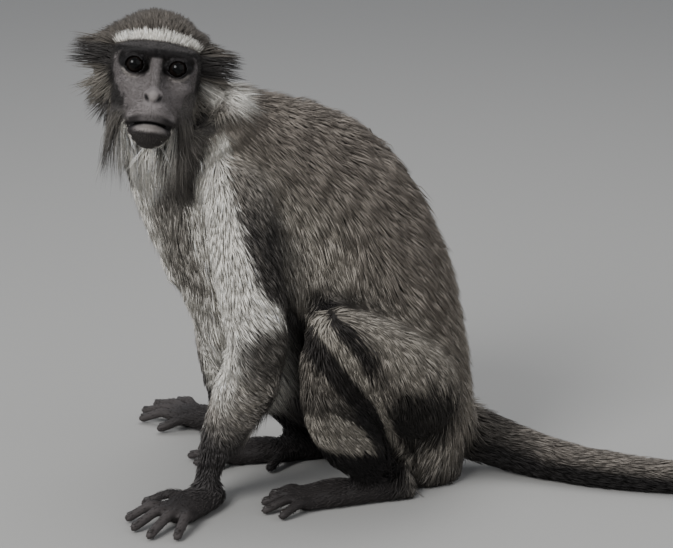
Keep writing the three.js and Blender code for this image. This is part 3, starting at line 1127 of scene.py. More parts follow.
    def _skin_colours(self, q: Array, g: Growth) -> None:
        """Paints the face's bare skin: dark orbits deepened by painted shade, painted highlights beside the
        eyes, on the lower lids and the lower lip, painted shade in nostrils and mouth, dark chin.

        Args:
            q: points in the head's frame.
            g: the growth at those points, changed in place.
        """
        t, eye = self.tints, self.head.eye_half
        f, a, u = q[:, 0], np.abs(q[:, 1]), q[:, 2]
        round_eye = np.hypot((a - eye + 0.8) / 14.0, (u - 2.4) / 10.8)
        rim = np.hypot((a - eye) / 9.6, (u + 0.5) / 9.0)
        tip = ease(size((q - [20, 0, -22.5]) * [0.5, 1.1, 1]), 5.5, 2.5)
        hole = np.stack([f - 19.5, a - 4.6 - (u + 24.4) * 0.5, u + 24.4], 1)
        drop = 4.8 * (a / 18.0) ** 2
        moustache = hat(u, -38.8 - drop, 1.8, 2.6) * ease(a, 22, 18)
        mouth = hat(u, -42.1 - drop, 0.6 + 0.9 * ease(a, 4, 15), 1.5) * ease(a, 21, 18)
        full = 2.8 * np.sqrt(np.clip(1 - (a / 13.0) ** 2, 0, 1))
        lip = ease(np.abs(u + 45.7 + drop * 0.8) - full, 1.6, -1.6) * ease(a, 13, 5)
        chin = np.maximum(ease(u, -47.5, -50.5), ease(a, 9, 14) * ease(u, -43, -45))
        skin = layered(
            np.tile(t.face, (len(q), 1)),
            (t.orbit * 2.6, ease(self.face_gap(q), -2.5, 1.0) * 0.6 * ease(u, -2, -14)),
            # Painted highlight: a light arc round the upper outer edge of each orbit, where the brow fold
            # catches the light.
            (t.face * 1.35, hat(round_eye, 1.22, 0.07, 0.1) * ease(a, 17, 22) * ease(u, -2, 4)),
            # Dark orbits: the skin's own black, deepened round the eye as painted shade under the brow.
            (t.orbit * 0.8, ease(round_eye, 1.1, 0.86) * ease(f, -38, -24) * ease(a, 3.0, 4.6)),
            (t.orbit * 1.5, hat(u, 9.5, 3.0, 2.5) * ease(a, 30, 24)),
            (t.face * 0.9, ease(a, 5.5, 3.5) * ease(u, 6, 0)),
            # Painted light: the lower lids are paled where they catch the light.
            (t.lip, hat(rim, 1.02, 0.08, 0.1) * ease(u, -3.0, -6.0) * ease(a, eye - 7, eye) * 0.75),
            (t.lip * 0.82, tip * 0.55),
            # Painted shade: the nostrils' hollows are darkened.
            (t.black * 0.6, ease(size(hole * [0.4, 1.2, 0.6]), 2.6, 1.2)),
            (t.face * 1.2, ease(u, -24, -29) * ease(u, -40, -37) * 0.8),
            (t.orbit * 2.0, moustache * (0.5 + 0.45 * ease(a, 5, 12))),
            # Painted highlight: the lower lip is paled most in its middle, where it catches the light.
            (t.lip, lip * (0.85 - 0.35 * ease(a, 2, 11))),
            (t.orbit * 2.9, chin * (1 - lip * 0.8)),
            # Painted shade: the mouth's slit is darkened along its groove.
            (t.black * 0.7, mouth),
        )
        g.change(g.head * g.bare, skin=skin, tip=skin)

    def _head_hair(self, q: Array, g: Growth) -> None:
        """Sets length, stand and lie of the head's hair.

        Args:
            q: points in the head's frame.
            g: the growth at those points, changed in place.
        """
        f, l, u = q.T
        a, s, gap, line = np.abs(l), np.sign(l), self.face_gap(q), self.brow_line(np.abs(l))
        hair = Growth.blank(g.head, g.weight, g.along)
        hair.length += 12.5 + 7.5 * ease(a, 20, 34) * ease(u, 34, 20)
        hair.lift += 0.5
        hair.stand += 0.62
        hair.width += 0.66
        hair.lay = toward(-0.75, l * 0.034, (u + 4) * 0.026)
        hair.change(ease(f, -50, -72), lay=toward(-0.5, s * 0.15, -0.85), stand=0.0)
        upward = toward(-0.12, l * 0.026, 1.0)
        hair.change(ease(f, -40, -28) * ease(u, 8, 13) * 0.8, lay=upward)
        cheek = ease(u, 10, 2) * ease(gap, -2, 3) * ease(f, -74, -60)
        soft = 8.0 + 10.0 * ease(gap, 1, 8)
        hair.change(cheek, lay=toward(-0.55, s * 0.75, -0.4), length=soft, lift=0.4, stand=0.0)
        temple = ease(a, 23, 31) * hat(u, 6.0, 8.0, 6.0) * ease(f, -62, -48)
        hair.change(temple, lay=toward(-0.32, s, 0.04 - 0.012 * (u - 8)), length=33.0)
        ruff = ease(a, 23, 30) * ease(u, -2, -10) * ease(f, -66, -50)
        fringe = 32.0 - 9.0 * ease(u, -30, -48)
        hair.stand = np.maximum(hair.stand, temple * 0.95)
        hair.change(ruff, lay=toward(-0.3, s * 0.85, -0.55), length=fringe)
        hair.stand = np.maximum(hair.stand, ruff * 0.7)
        band = hat(u - line, 0.4, 2.2, 1.6) * ease(f, -44, -32)
        hair.change(band, lay=upward, length=6.5, stand=0.3)
        strip = ease(u, line - 1.2, line - 2.6) * ease(f, -40, -32)
        hair.change(strip, length=3.4, stand=0.0, lift=0.3)
        hair.width -= 0.35 * np.maximum(strip, band * 0.6)
        under = ease(u, -42, -52) * ease(gap, -2, 2)
        beard = 20.0 + 10.0 * hat(a, 25, 8, 6)
        hair.change(under, lay=toward(-0.3, s * ease(a, 8, 26) * 0.55, -1.0), length=beard, stand=0.35)
        jaw_edge = hat(gap, 2.0, 3.0, 1.6) * ease(u, -40, -46)
        hair.change(jaw_edge, lay=toward(-0.5, 0.0, -np.ones(len(q))), length=10.0, stand=0.0)
        hang = hat(gap, 8.0, 4.0, 4.0) * hat(u, -45, 8, 5) * ease(f, -62, -48)
        hair.change(hang, lay=toward(-0.12, s * 0.02, -1.0), length=50.0)
        hair.stand = np.maximum(hair.stand, 0.75 * hang)
        bare = ease(gap, 1.6, -2.2)
        fine = toward(-0.45, np.tanh(l / 9) * 0.75, -0.5)
        fine = mix(fine, toward(-0.5, l * 0.03, 0.8), ease(a, 9, 5) * ease(u, -24, -12))
        short = 2.0 + bare * ease(u, -48, -54)
        hair.change(bare, lay=fine, length=short, lift=0.25, stand=0.0, width=0.3)
        ear = ease(size((np.abs(q) - [54, 44, 1]) * [1.0, 0.9, 0.75]), 12, 8)
        hair.change(ear, length=6.0)
        g.bare = np.maximum(g.bare * (1 - g.head), bare * g.head)
        for name in ("length", "lift", "stand", "width"):
            g.change(g.head, **{name: getattr(hair, name)})
        g.change(g.head, lay=hair.lay @ self.head.axes, thick=2.6 - 0.9 * bare)

    def _round(self, p: Array, g: Growth, *parts: Part) -> Iterator[tuple[Bone, Array, Array, Array]]:
        """Goes through the bones of some parts.

        Args:
            p: points, in metres.
            g: the growth at those points.
            parts: the parts of the body.

        Yields:
            A bone, its share of each point, how far along it each point lies, and the points'
            offsets from it in millimetres.
        """
        for bone, w, along in zip(self.skeleton.bones, g.weight.T, g.along.T):
            if bone.part in parts:
                yield bone, w, along, (p - bone.start - along[:, None] * bone.line) / MM

    def _trunk(self, p: Array, g: Growth) -> None:
        """Paints the back, flank, collar, bib and belly, and lays the trunk's hair.

        Args:
            p: points, in metres.
            g: the growth at those points, changed in place.
        """
        t = self.tints
        x, y, z = (p / MM).T
        half = np.interp(z, self.bib_levels, self.bib_half)
        middle = np.interp(z, self.bib_levels, self.bib_middle)
        bib = ease(np.abs(y - middle) + self.streaks(p * [0.25, 1, 1], 44) * 2.6 - half, 2.5, -2.5)
        down = toward(0.3 - 0.75 * ease(x, -150, -20), 0.0, -1.0)
        for bone, w, _, off in self._round(p, g, *self.trunk_hair):
            front = np.array([-1.0, 0, -0.45])
            ventral = unit(off) @ unit(front - bone.way * (front @ bone.way))
            colour = mix(t.back, t.flank, np.maximum(ease(ventral, -0.75, -0.15), ease(x, -20, 40)))
            if bone.part in (Part.NECK, Part.CHEST):
                breast = mix(t.breast, t.collar * 1.3, ease(z, 230, 274))
                colour = mix(colour, breast, ease(ventral, -0.35, 0.1) * 0.92)
            elif bone.part == Part.ABDOMEN:
                colour = mix(colour, t.smoke, ease(ventral, 0.3, 0.6))
            else:
                # The rump darkens towards the floor: partly its dark fur, partly painted shade under the
                # body.
                colour = mix(colour, t.collar, ease(z, 66, 44) * 0.9)
            white = bib * ease(ventral, 0.0, 0.3) * ease(z, 105, 130)
            slope = ease(ventral, -0.85, -0.3)
            ruffled = ease(z, 264, 284) * ease(ventral, -0.5, 0.2) * (bone.part == Part.NECK)
            g.add(
                w,
                tip=mix(colour, t.white, white * (0.75 + 0.25 * ease(z, 205, 230))),
                lay=mix(np.tile(bone.way * [1, 0.2, 1], (len(p), 1)), down, slope * 0.9),
                length=self.trunk_hair[bone.part] - 4.0 * ease(ventral, -0.6, -1.0) + 8.0 * ruffled,
                lift=0.3 + 0.4 * ruffled + 0.22 * ease(ventral, -0.5, -0.8),
                width=1.0,
                thick=0.95,
            )

    def _arms(self, p: Array, g: Growth) -> None:
        """Paints the arms, white in front and inside, and lays their hair.

        Args:
            p: points, in metres.
            g: the growth at those points, changed in place.
        """
        t, z = self.tints, p[:, 2] / MM
        rag = ripple(p, 9 * MM, 41) * 4.0 + ripple(p, 4 * MM, 42) * 2.5
        for bone, w, along, off in self._round(p, g, Part.UPPER_ARM):
            girth = bone.radius / MM
            inside = ease(-bone.side * off[:, 1] / girth, 0.3, 0.65) * ease(off[:, 0], 20, 8)
            white = np.maximum(inside, ease(off[:, 0] / girth, -0.45, -0.8)) * ease(z, 262, 245)
            low = ease(z + self.streaks(p, 45) * 9, 270, 236)
            colour = mix(t.shoulder, t.collar * 0.75, low * (0.85 + 0.15 * self.streaks(p, 47)))
            rearward = 0.18 + 0.5 * ease(along, 0.55, 1.0)[:, None]
            g.add(
                w,
                tip=mix(colour, t.white, white),
                lay=unit(bone.way + rearward * [1, 0, 0]),
                length=15.0 + 6.0 * ease(along, 0.75, 1.0),
                lift=0.3,
                width=1.0,
                thick=1.3,
            )
        for bone, w, along, off in self._round(p, g, Part.FOREARM):
            rear, inner = off[:, 0] / (bone.radius / MM), -bone.side * off[:, 1] / (bone.radius / MM)
            fan = np.sin(along * 34 + off[:, 0] * 0.16 + rag * 0.5)
            ahead = ease(rear + rag * 0.04, -0.25, -0.6) * ease(along, 0.55, 0.35)
            inside = ease(inner + rag * 0.02, 0.1, 0.4) * ease(along, 0.95, 0.8)
            colour = layered(
                t.arm,
                (t.smoke * 1.4, ease(along, 0.4, 0.8)),
                (t.ruff, ease(fan, 0.0, 0.9) * ease(along, 0.65, 0.45) * ease(rear, -0.5, 0.1) * 0.9),
                (t.collar, ease(fan, -0.2, -0.9) * ease(along, 0.75, 0.55) * 0.55),
                # The forearm's rear is darkened: partly dark fur, partly painted shade on the side away
                # from the light.
                (t.collar * 0.8, ease(rear, 0.85, 1.1) * 0.8),
                (t.white * 0.95, np.maximum(ahead, inside)),
            )
            fall = ease(along, 0.5, 0.85)[:, None]
            fringe = 13.0 * ease(rear, 0.1, 0.8) * ease(along, 0.9, 0.5)
            g.add(
                w,
                tip=colour,
                lay=unit(bone.way * (0.55 + 0.6 * fall) + np.array([0.85, 0, -0.1]) * (1 - fall * 0.75)),
                length=13.0 + fringe - 4.0 * ease(along, 0.6, 1.0),
                lift=0.3 + 0.25 * ease(rear, 0.0, 0.8),
                width=1.0,
                thick=1.35,
            )

    def _hands_and_feet(self, p: Array, g: Growth) -> None:
        """Paints the dark hands and feet, their hair short and thin toward the tips.

        Args:
            p: points, in metres.
            g: the growth at those points, changed in place.
        """
        for bone, w, _, _ in self._round(p, g, Part.HAND, Part.FOOT):
            reach = size(p[:, :2] - bone.start[:2]) / MM
            if bone.part == Part.HAND:
                length, thick = 6.0 - 3.2 * ease(reach, 10, 40), 1.5 - 0.9 * ease(reach, 30, 55)
                bare = ease(reach, 34, 60)
            else:
                length, thick, bare = 6.0 - 3.0 * ease(reach, 20, 60), 1.4, ease(reach, 60, 90)
            g.add(w, tip=self.tints.hand, lay=bone.way, length=length, thick=thick, bare=bare)
            g.add(w, lift=0.22, width=0.6)

    def _legs(self, p: Array, g: Growth) -> None:
        """Paints thighs and mottled shanks and lays their hair.

        Args:
            p: points, in metres.
            g: the growth at those points, changed in place.
        """
        t = self.tints
        x, _, z = (p / MM).T
        rag = ripple(p, 7 * MM, 51)
        for bone, w, _, off in self._round(p, g, Part.THIGH):
            colour = mix(t.thigh, t.flank, ease(self._off_stripe(x, z), 10, 34) * 0.8)
            # The thigh's inner side is black: partly dark fur, partly painted shade between the legs.
            colour = mix(colour, t.black * 1.5, ease(-bone.side * off[:, 1], 12, 26) * 0.9)
            lay = unit(np.array([0.15, 0.0, -1.0]) - bone.way * 0.55)
            g.add(w, tip=colour, lay=lay, length=20.0, lift=0.28, width=1.35, thick=1.05)
        for bone, w, along, off in self._round(p, g, Part.SHANK):
            blotch = ripple(p, 16 * MM, 52)
            top = np.interp(x, self.pane_across, self.pane_top) + rag * 1.5
            low = np.interp(x, self.pane_across, self.pane_low) + rag
            colour = layered(
                t.thigh,
                (t.ruff, ease(blotch, -0.1, 0.6) * 0.6),
                (t.black * 1.3, ease(blotch, 0.0, -0.7) * 0.75),
                # Black on the lower shank, above and below its pale pane: partly dark fur, partly painted
                # shade in the fold under the thigh and next to the floor.
                (t.black * 1.2, ease(z, top + 26, top + 17)),
                (t.ruff, ease(z, top + 1, top - 2) * ease(z, low - 2, low + 2)),
                # The shank's inner side is black: partly dark fur, partly painted shade between the legs.
                (t.black * 1.2, ease(-bone.side * off[:, 1], -3, 6) * 0.95),
            )
            lay, length = unit(bone.way + np.array([0.75, 0, -0.2])), 14.0 - 7.5 * ease(along, 0.7, 1.0)
            g.add(w, tip=colour, lay=lay, length=length, lift=0.3, width=1.15, thick=1.35)

    def _tail(self, p: Array, g: Growth) -> None:
        """Paints the tail, darker underneath and near its root, and lays its hair.

        Args:
            p: points, in metres.
            g: the growth at those points, changed in place.
        """
        for bone, w, _, off in self._round(p, g, Part.TAIL):
            upper = ease(off[:, 2] / (bone.radius / MM), -0.2, 0.5)
            upper *= 0.35 + 0.65 * ease(p[:, 0] / MM, 40, 95)
            colour = mix(self.tints.tail_under, self.tints.tail, upper)
            g.add(w, tip=colour, lay=bone.way, length=15.0, lift=0.24, width=1.15, thick=1.15)

    def _off_stripe(self, x: Array, z: Array) -> Array:
        """Returns how far behind the thigh's pale stripe a place is."""
        return (x - np.interp(z, self.stripe_levels, self.stripe_line)) * 0.85

    def _stripe(self, p: Array, g: Growth) -> None:
        """Paints the pale stripe on the thigh, its dark edges and the black behind it, partly dark fur and
        partly painted shade.

        Args:
            p: points, in metres.
            g: the growth at those points, changed in place.
        """
        t = self.tints
        x, y, z = (p / MM).T
        rag = ripple(p, 7 * MM, 51)
        behind, half = self._off_stripe(x, z), np.interp(z, self.stripe_levels, self.stripe_half)
        stripe = ease(np.abs(behind) - half + rag * 0.9, 1.6, -1.6) * ease(half, 0.3, 1.5)
        above = hat(behind + rag * 3, 13.0, 3.8, 4.0) * ease(z, 190, 178)
        above *= ease(z + self.streaks(p, 54) * 9, 112, 130)
        below = hat(behind + rag, -half - 5.5 - z * 0.02, 6.0 + z * 0.01, 2.5) * ease(z, 185, 172)
        # Black behind the stripe: partly dark fur, partly painted shade in the recess behind the shank and
        # under the thigh.
        hollow_fur_and_shade = ease(np.hypot((x + 35) / 40, (z - 72) / 33) + self.streaks(p, 53) * 0.24, 1.35, 0.75)
        near = self.skeleton.shares(g.weight, Part.THIGH, Part.RUMP, Part.SHANK, Part.ABDOMEN)
        near *= ease(np.abs(y), 34, 46)
        g.change(np.maximum(above, below) * near * 0.9, tip=t.black * 1.5)
        g.change(hollow_fur_and_shade * ease(behind, 2, 5) * near * 0.92, tip=t.black)
        g.change(stripe * near, tip=t.ruff * 1.1)

    def _arm_band(self, p: Array, g: Growth) -> None:
        """Paints the white band from the shoulder down the outside of the upper arm.

        Args:
            p: points, in metres.
            g: the growth at those points, changed in place.
        """
        x, y, z = (p / MM).T
        rag = ripple(p, 6 * MM, 43) * 2.0
        front = np.interp(z, self.band_levels, self.band_front)
        rear = np.interp(z, self.band_levels, self.band_rear)
        band = ease(x - front + rag, -2.0, 1.5) * ease(rear - x + rag * 1.6, -3.5, 3.0)
        end = 150 + 8 * ease(x, -180, -165)
        band *= ease(np.abs(y), 30, 40) * ease(z + rag * 2.5 - end, 0, 12) * ease(z, 309, 302)
        band *= self.skeleton.shares(g.weight, Part.NECK, Part.CHEST, Part.UPPER_ARM, Part.FOREARM)
        g.change(band, tip=self.tints.white)

    def _pale_places(self, p: Array, q: Array, g: Growth) -> None:
        """Whitens the patches behind the ears, and lightens the throat's pale hair, roots and skin as
        painted light where the head shades them.

        Args:
            p: points, in metres.
            q: the same points in the head's frame.
            g: the growth at those points, changed in place.
        """
        white = self.tints.white
        hidden = g.head * np.maximum(ease(q[:, 2], -17, -9), ease(q[:, 0], -40, -28))
        for side in (-1, 1):
            off = p / MM - np.array(self.patch_at) * [1, side, 1]
            pale = ease(size(off * [0.85, 0.6, 0.9]), 22, 15) * (1 - hidden)
            g.change(pale, tip=white, root=white * 0.6)
        g.skin = g.tip * 0.42
        # Painted light: pale hair under the chin is lightened, with its roots and skin, where the head
        # shades it.
        clear = ease(g.tip.mean(1), 0.4, 0.6) * ease(p[:, 2], 0.242, 0.262) * ease(p[:, 0], -0.222, -0.236)
        g.change(clear, tip=g.tip * 1.12)
        g.change(clear, root=g.tip, skin=g.tip * 0.9)

    @staticmethod
    def at_root(tip: Array) -> Array:
        """Returns the darker colour of a hair at its root; pale hair stays paler."""
        return tip * (0.45 + 0.45 * np.clip(tip.mean(1, keepdims=True) / 0.5, 0, 1))

    def read(self, p: Array) -> Growth:
        """Tells what grows at each point of the skin.

        Args:
            p: points, in metres.

        Returns:
            Colours, size and lie of the coat, and the colour of the skin, at each point.
        """
        q = self.head.inside(p)
        reach = size((q - self.head.middle) * np.where(q[:, :1] > -36, [0.7, 1, 1], [1, 1, 1]))
        g = Growth.blank(ease(reach, 68, 56), *self.skeleton.read(p))
        for part in (self._trunk, self._arms, self._hands_and_feet, self._arm_band, self._legs, self._tail):
            part(p, g)
        self._stripe(p, g)
        g.root = self.at_root(g.tip)
        self._head_hair(q, g)
        self._head_colours(q, g)
        self._pale_places(p, q, g)
        g.change(np.clip(g.bare, 0, 1) * (1 - g.head), skin=self.tints.hand * 1.05)
        self._skin_colours(q, g)
        g.length = g.length * MM * (1 + 0.16 * ripple(p, 22 * MM, 61))
        g.width = g.width * MM
        swirl = np.stack([ripple(p, 34 * MM, seed) for seed in (71, 72, 73)], 1)
        g.lay = unit(unit(g.lay) + 0.16 * swirl * (1 - 0.5 * g.head)[:, None])
        g.uneven = 0.17 + 0.08 * ripple(p, 30 * MM, 81)
        return g


# ---------------------------------------------------------------- the coat
@dataclass(frozen=True)
class Lock:
    """One lock of hair: a closed three-sided blade that narrows to a point."""

    segments: int = 2
    swell: tuple[float, ...] = (0.9, 0.8)
    height: float = 0.42

    def faces(self) -> Array:
        """Returns its triangles, facing outwards, as numbers of its own points."""
        found = [(0, 2, 1)]
        for r in range(self.segments - 1):
            for j in range(3):
                a, b = 3 * r + j, 3 * r + (j + 1) % 3
                found += [(a, b, b + 3), (a, b + 3, a + 3)]
        tip, last = 3 * self.segments, 3 * (self.segments - 1)
        found += [(last + j, last + (j + 1) % 3, tip) for j in range(3)]
        return np.array(found)

    def share(self) -> Array:
        """Returns how far along the lock each of its points is, from 0 at the root to 1."""
        return np.append(np.repeat(np.arange(self.segments) / self.segments, 3), 1.0)


Reader = Callable[[Growth, Array, Array], Array]


@dataclass
class Patch:
    """One piece of the coat: where it grows and how many locks it has."""

    name: str
    count: int
    belongs: Reader
    on_head: bool = False


@dataclass
class Coat:
    """All the locks of hair, combed over the skin in the lie of the coat."""

    skin: Thing
    pelt: Pelt
    lock: Lock = Lock()
    seed: int = 7
    patch_size: float = 0.003
    clump_size: float = 0.3
    clump_pull: float = 0.55
    stray: float = 0.09
    free_stray: float = 0.1
    free_lift: float = 0.32
    least_rise: float = 0.15
    droop: float = 0.1
    clear: float = 1.5 * MM
    floor_gap: float = 0.4 * MM
    sunk: float = 0.5 * MM
    room: float = 11 * MM

    def __post_init__(self) -> None:
        """Reads the skin and what grows at each of its points."""
        self.points = points_of(self.skin)
        self.normals = normals_of(self.skin)
        self.skin.data.calc_loop_triangles()
        flat = np.empty(len(self.skin.data.loop_triangles) * 3, np.int32)
        self.skin.data.loop_triangles.foreach_get("vertices", flat)
        self.triangles = flat.reshape(-1, 3)
        self.growth = self.pelt.read(self.points)
        self.wall = BVHTree.FromPolygons(self.points.tolist(), self.triangles.tolist())
        self.tree = self._tree(self.points)
        self.rng = np.random.default_rng(self.seed)

    @staticmethod
    def _tree(points: Array) -> KDTree:
        """Plants a tree that finds the nearest of some points.

        Args:
            points: the points.

        Returns:
            The tree.
        """
        tree = KDTree(len(points))
        for i, p in enumerate(points):
            tree.insert(p, i)
        tree.balance()
        return tree

    @staticmethod
    def _nearest(tree: KDTree, points: Array) -> Array:
        """Returns the number of the tree's point nearest to each of the points."""
        return np.array([tree.find(p)[1] for p in points])

    def patches(self) -> list[Patch]:
        """Returns the pieces of the coat, each with its share of the locks."""

        def share(*parts: Part, side: int | None = None) -> Reader:
            """Returns a test for how much a place belongs to these parts of the body."""
            return lambda g, q, p: (1 - g.head) * self.pelt.skeleton.shares(g.weight, *parts, side=side)

        def trunk(low: float, high: float) -> Reader:
            """Returns a test for the trunk between two levels, in metres from the floor."""
            inner = share(Part.CHEST, Part.ABDOMEN, Part.RUMP)
            return lambda g, q, p: inner(g, q, p) * (p[:, 2] >= low) * (p[:, 2] < high)

        arm, leg = (Part.UPPER_ARM, Part.FOREARM), (Part.THIGH, Part.SHANK)
        return [
            Patch("coat_crown", 11500, lambda g, q, p: g.head * (1 - g.bare) * (q[:, 2] > 8), True),
            Patch("coat_cheeks", 14000, lambda g, q, p: g.head * (1 - g.bare) * (q[:, 2] <= 8), True),
            Patch("coat_face", 7500, lambda g, q, p: g.head * g.bare * self._hairy(q), True),
            Patch("coat_neck", 10500, share(Part.NECK)),
            Patch("coat_chest", 14500, trunk(0.215, 1.0)),
            Patch("coat_flanks", 18500, trunk(0.1, 0.215)),
            Patch("coat_rump", 12500, trunk(-1.0, 0.1)),
            Patch("coat_tail", 10500, share(Part.TAIL)),
            Patch("coat_left_arm", 12500, share(*arm, side=-1)),
            Patch("coat_right_arm", 9500, share(*arm, side=1)),
            Patch("coat_left_leg", 12500, share(*leg, side=-1)),
            Patch("coat_right_leg", 9500, share(*leg, side=1)),
            Patch("coat_hands_and_feet", 5500, share(Part.HAND, Part.FOOT)),
        ]

    @staticmethod
    def _hairy(q: Array) -> Array:
        """Tells where the face has short hair: not on lids, nose tip or lips.

        Args:
            q: points in the head's frame.

        Returns:
            A number for each point, 0 where the skin is bare and up to 1 where hair is thickest.
        """
        a = np.abs(q[:, 1])
        eye = ease(size(np.stack([(a - 16) / 11, q[:, 2] / 8], 1)), 0.85, 1.15)
        lips = ease(np.abs(q[:, 2] + 42.5), 3.5, 6.5) + ease(a, 15, 20)
        nose = ease(size(q - [19, 0, -23]), 6, 9)
        return eye * np.clip(lips, 0, 1) * nose

    def _scatter(self, patch: Patch) -> tuple[Array, Array, float]:
        """Picks the roots of a patch, evenly for its area.

        Args:
            patch: the piece of coat.

        Returns:
            The roots, the skin's outward directions there and twice the area that is covered.
        """
        q = self.pelt.head.inside(self.points)
        density = patch.belongs(self.growth, q, self.points) * self.growth.thick
        tri = self.triangles
        a, b, c = (self.points[tri[:, k]] for k in range(3))
        area, dense = size(np.cross(b - a, c - a)), density[tri].mean(1)
        chance = np.cumsum(area * dense)
        marks = (np.arange(patch.count) + self.rng.uniform(0, 1, patch.count)) / patch.count
        pick = tri[np.searchsorted(chance, marks * chance[-1])]
        u, v = self.rng.uniform(0, 1, (2, patch.count))
        fold = u + v > 1
        u, v = np.where(fold, 1 - u, u), np.where(fold, 1 - v, v)
        w = np.stack([1 - u - v, u, v], 1)[..., None]
        roots, normals = (self.points[pick] * w).sum(1), unit((self.normals[pick] * w).sum(1))
        return roots, normals, float(area[dense > 0.3].sum())

    def _open(self, roots: Array, normals: Array) -> Array:
        """Tells which locks stand in the open and not deep in a crease of the body.

        Args:
            roots: where the locks grow.
            normals: outward directions at the roots.

        Returns:
            Whether each lock has room before it.
        """
        starts = roots + normals * self.clear
        return np.array([self.wall.ray_cast(p, n, self.room)[0] is None for p, n in zip(starts, normals)])

    def _comb(self, roots: Array, normals: Array, g: Growth) -> tuple[Array, Array, Array]:
        """Lays each lock over the skin, step by step, from root to tip.

        Args:
            roots: where the locks grow.
            normals: outward directions at the roots.
            g: the growth at the roots, its length changed in place.

        Returns:
            The middle line of each lock, the outward direction at each of its points, and
            whether the lock stays on its own side of the body.
        """
        n, steps = len(roots), self.lock.segments
        lines, outs = np.empty((2, n, steps + 1, 3))
        lines[:, 0], outs[:, 0] = roots, normals
        base = roots.copy()
        lay = flattened(g.lay, normals)
        against = size(lay) / np.maximum(size(g.lay), 1e-9)
        g.length = g.length * np.maximum(np.clip(against * 1.7, 0.3, 1), np.maximum(g.stand, g.head))
        lost = np.zeros(n, dtype=bool)
        way = unit(lay + self.rng.normal(0, self.stray, (n, 3)))
        lift = np.clip(g.lift * self.rng.uniform(0.75, 1.3, n), 0.08, 0.95)
        for k in range(1, steps + 1):
            s = k / steps
            step = base + way * (g.length / steps)[:, None]
            near = self._nearest(self.tree, step)
            out = self.normals[near]
            gap = ((step - self.points[near]) * out).sum(1, keepdims=True)
            bend = (out * outs[:, k - 1]).sum(1, keepdims=True)
            astray = (np.abs(gap) > 0.5 * g.length[:, None]) | (bend < 0.25)
            lost |= (bend[:, 0] < -0.1) & (g.stand < 0.3)
            out = np.where(astray, outs[:, k - 1], out)
            base = np.where(astray, step, step - out * gap)
            way = unit(flattened(way, out) + 0.45 * unit(flattened(self.growth.lay[near], out)))
            height = g.length * lift * (s - 0.42 * s * s) * 1.35
            lines[:, k] = base + out * height[:, None]
            outs[:, k] = out
        free = unit(g.lay + normals * self.free_lift + self.rng.normal(0, self.free_stray, (n, 3)))
        rise = (free * normals).sum(1, keepdims=True)
        free = unit(free + normals * np.maximum(self.least_rise - rise, 0.0))
        for k in range(1, steps + 1):
            s = k / steps
            straight = roots + (free * s - self.droop * UP * s**3) * g.length[:, None]
            lines[:, k] = mix(lines[:, k], straight, g.stand)
        return lines, outs, ~lost

    def _clump(self, lines: Array, crowd: float) -> Array:
        """Draws the locks' tips together towards guide locks.

        Args:
            lines: the middle lines, changed in place.
            crowd: how many locks share a guide.

        Returns:
            A number for each lock that its neighbours in the same clump share, about 0 on average.
        """
        n, steps = len(lines), self.lock.segments
        guides = self.rng.choice(n, int(np.clip(n / crowd, 1, n)), replace=False)
        mine = self._nearest(self._tree(lines[guides, 0]), lines[:, 0])
        leader = lines[guides[mine]]
        apart = size(lines[:, 0] - leader[:, 0])
        pulls = self.clump_pull * self.rng.uniform(0.4, 1.3, n) * ease(apart, 12 * MM, 7 * MM)
        for k in range(1, steps + 1):
            lines[:, k] = mix(lines[:, k], leader[:, k], np.clip(pulls * (k / steps) ** 1.3, 0, 0.85))
        return self.rng.normal(0, 1, len(guides))[mine]

    def _unwrap_head(self, roots: Array) -> Array:
        """Unwraps roots round the middle of the head.

        Args:
            roots: where the locks grow.

        Returns:
            A place on the map, from 0 to 1 each way, for each root.
        """
        q = self.pelt.head.inside(roots) - self.pelt.head.middle
        turn = np.arctan2(q[:, 1], q[:, 0]) / (2 * math.pi) + 0.5
        rise = np.arctan2(q[:, 2], np.hypot(q[:, 0], q[:, 1])) / math.pi + 0.5
        return 0.01 + 0.98 * np.stack([turn, rise], 1)

    def _unwrap(self, roots: Array, g: Growth) -> Array:
        """Unwraps roots round the bones, each bone in a strip of its own.

        Args:
            roots: where the locks grow.
            g: the growth at the roots.

        Returns:
            A place on the map, from 0 to 1 each way, for each root.
        """
        main = np.argmax(g.weight, 1)
        used = np.unique(main)
        place = np.empty((len(roots), 2))
        for column, i in enumerate(used):
            bone, mask = self.pelt.skeleton.bones[i], main == i
            side = unit(np.cross(bone.line, UP if abs(bone.way[2]) < 0.9 else [1.0, 0, 0]))
            front = unit(np.cross(side, bone.line))
            rel = roots[mask] - bone.start
            turn = np.arctan2(rel @ side, rel @ front) / (2 * math.pi) + 0.5
            run = np.clip((rel @ bone.line / (bone.line @ bone.line) + 0.4) / 1.8, 0, 1)
            place[mask, 0] = (column + 0.03 + 0.94 * turn) / len(used)
            place[mask, 1] = 0.01 + 0.98 * run
        return place

    def _blades(self, lines: Array, outs: Array, width: Array) -> Array:
        """Puts a blade round each middle line, its tip kept above the floor.

        Args:
            lines: the middle lines.
            outs: the outward directions along them.
            width: width of each lock near its root.

        Returns:
            The points of all the blades, lock by lock.
        """
        rings = self.lock.segments
        points = np.empty((len(lines), 3 * rings + 1, 3))
        for r in range(rings):
            along = unit(lines[:, r + 1] - lines[:, max(r - 1, 0)])
            across = unit(np.cross(along, outs[:, r]) + 1e-9)
            over = np.cross(across, along)
            w = (width * self.lock.swell[r])[:, None]
            points[:, 3 * r] = lines[:, r] - across * w * 0.5
            points[:, 3 * r + 1] = lines[:, r] + across * w * 0.5
            points[:, 3 * r + 2] = lines[:, r] + over * w * self.lock.height
        points[:, -1] = lines[:, rings]
        points[..., 2] = np.maximum(points[..., 2], self.floor_gap)
        return points

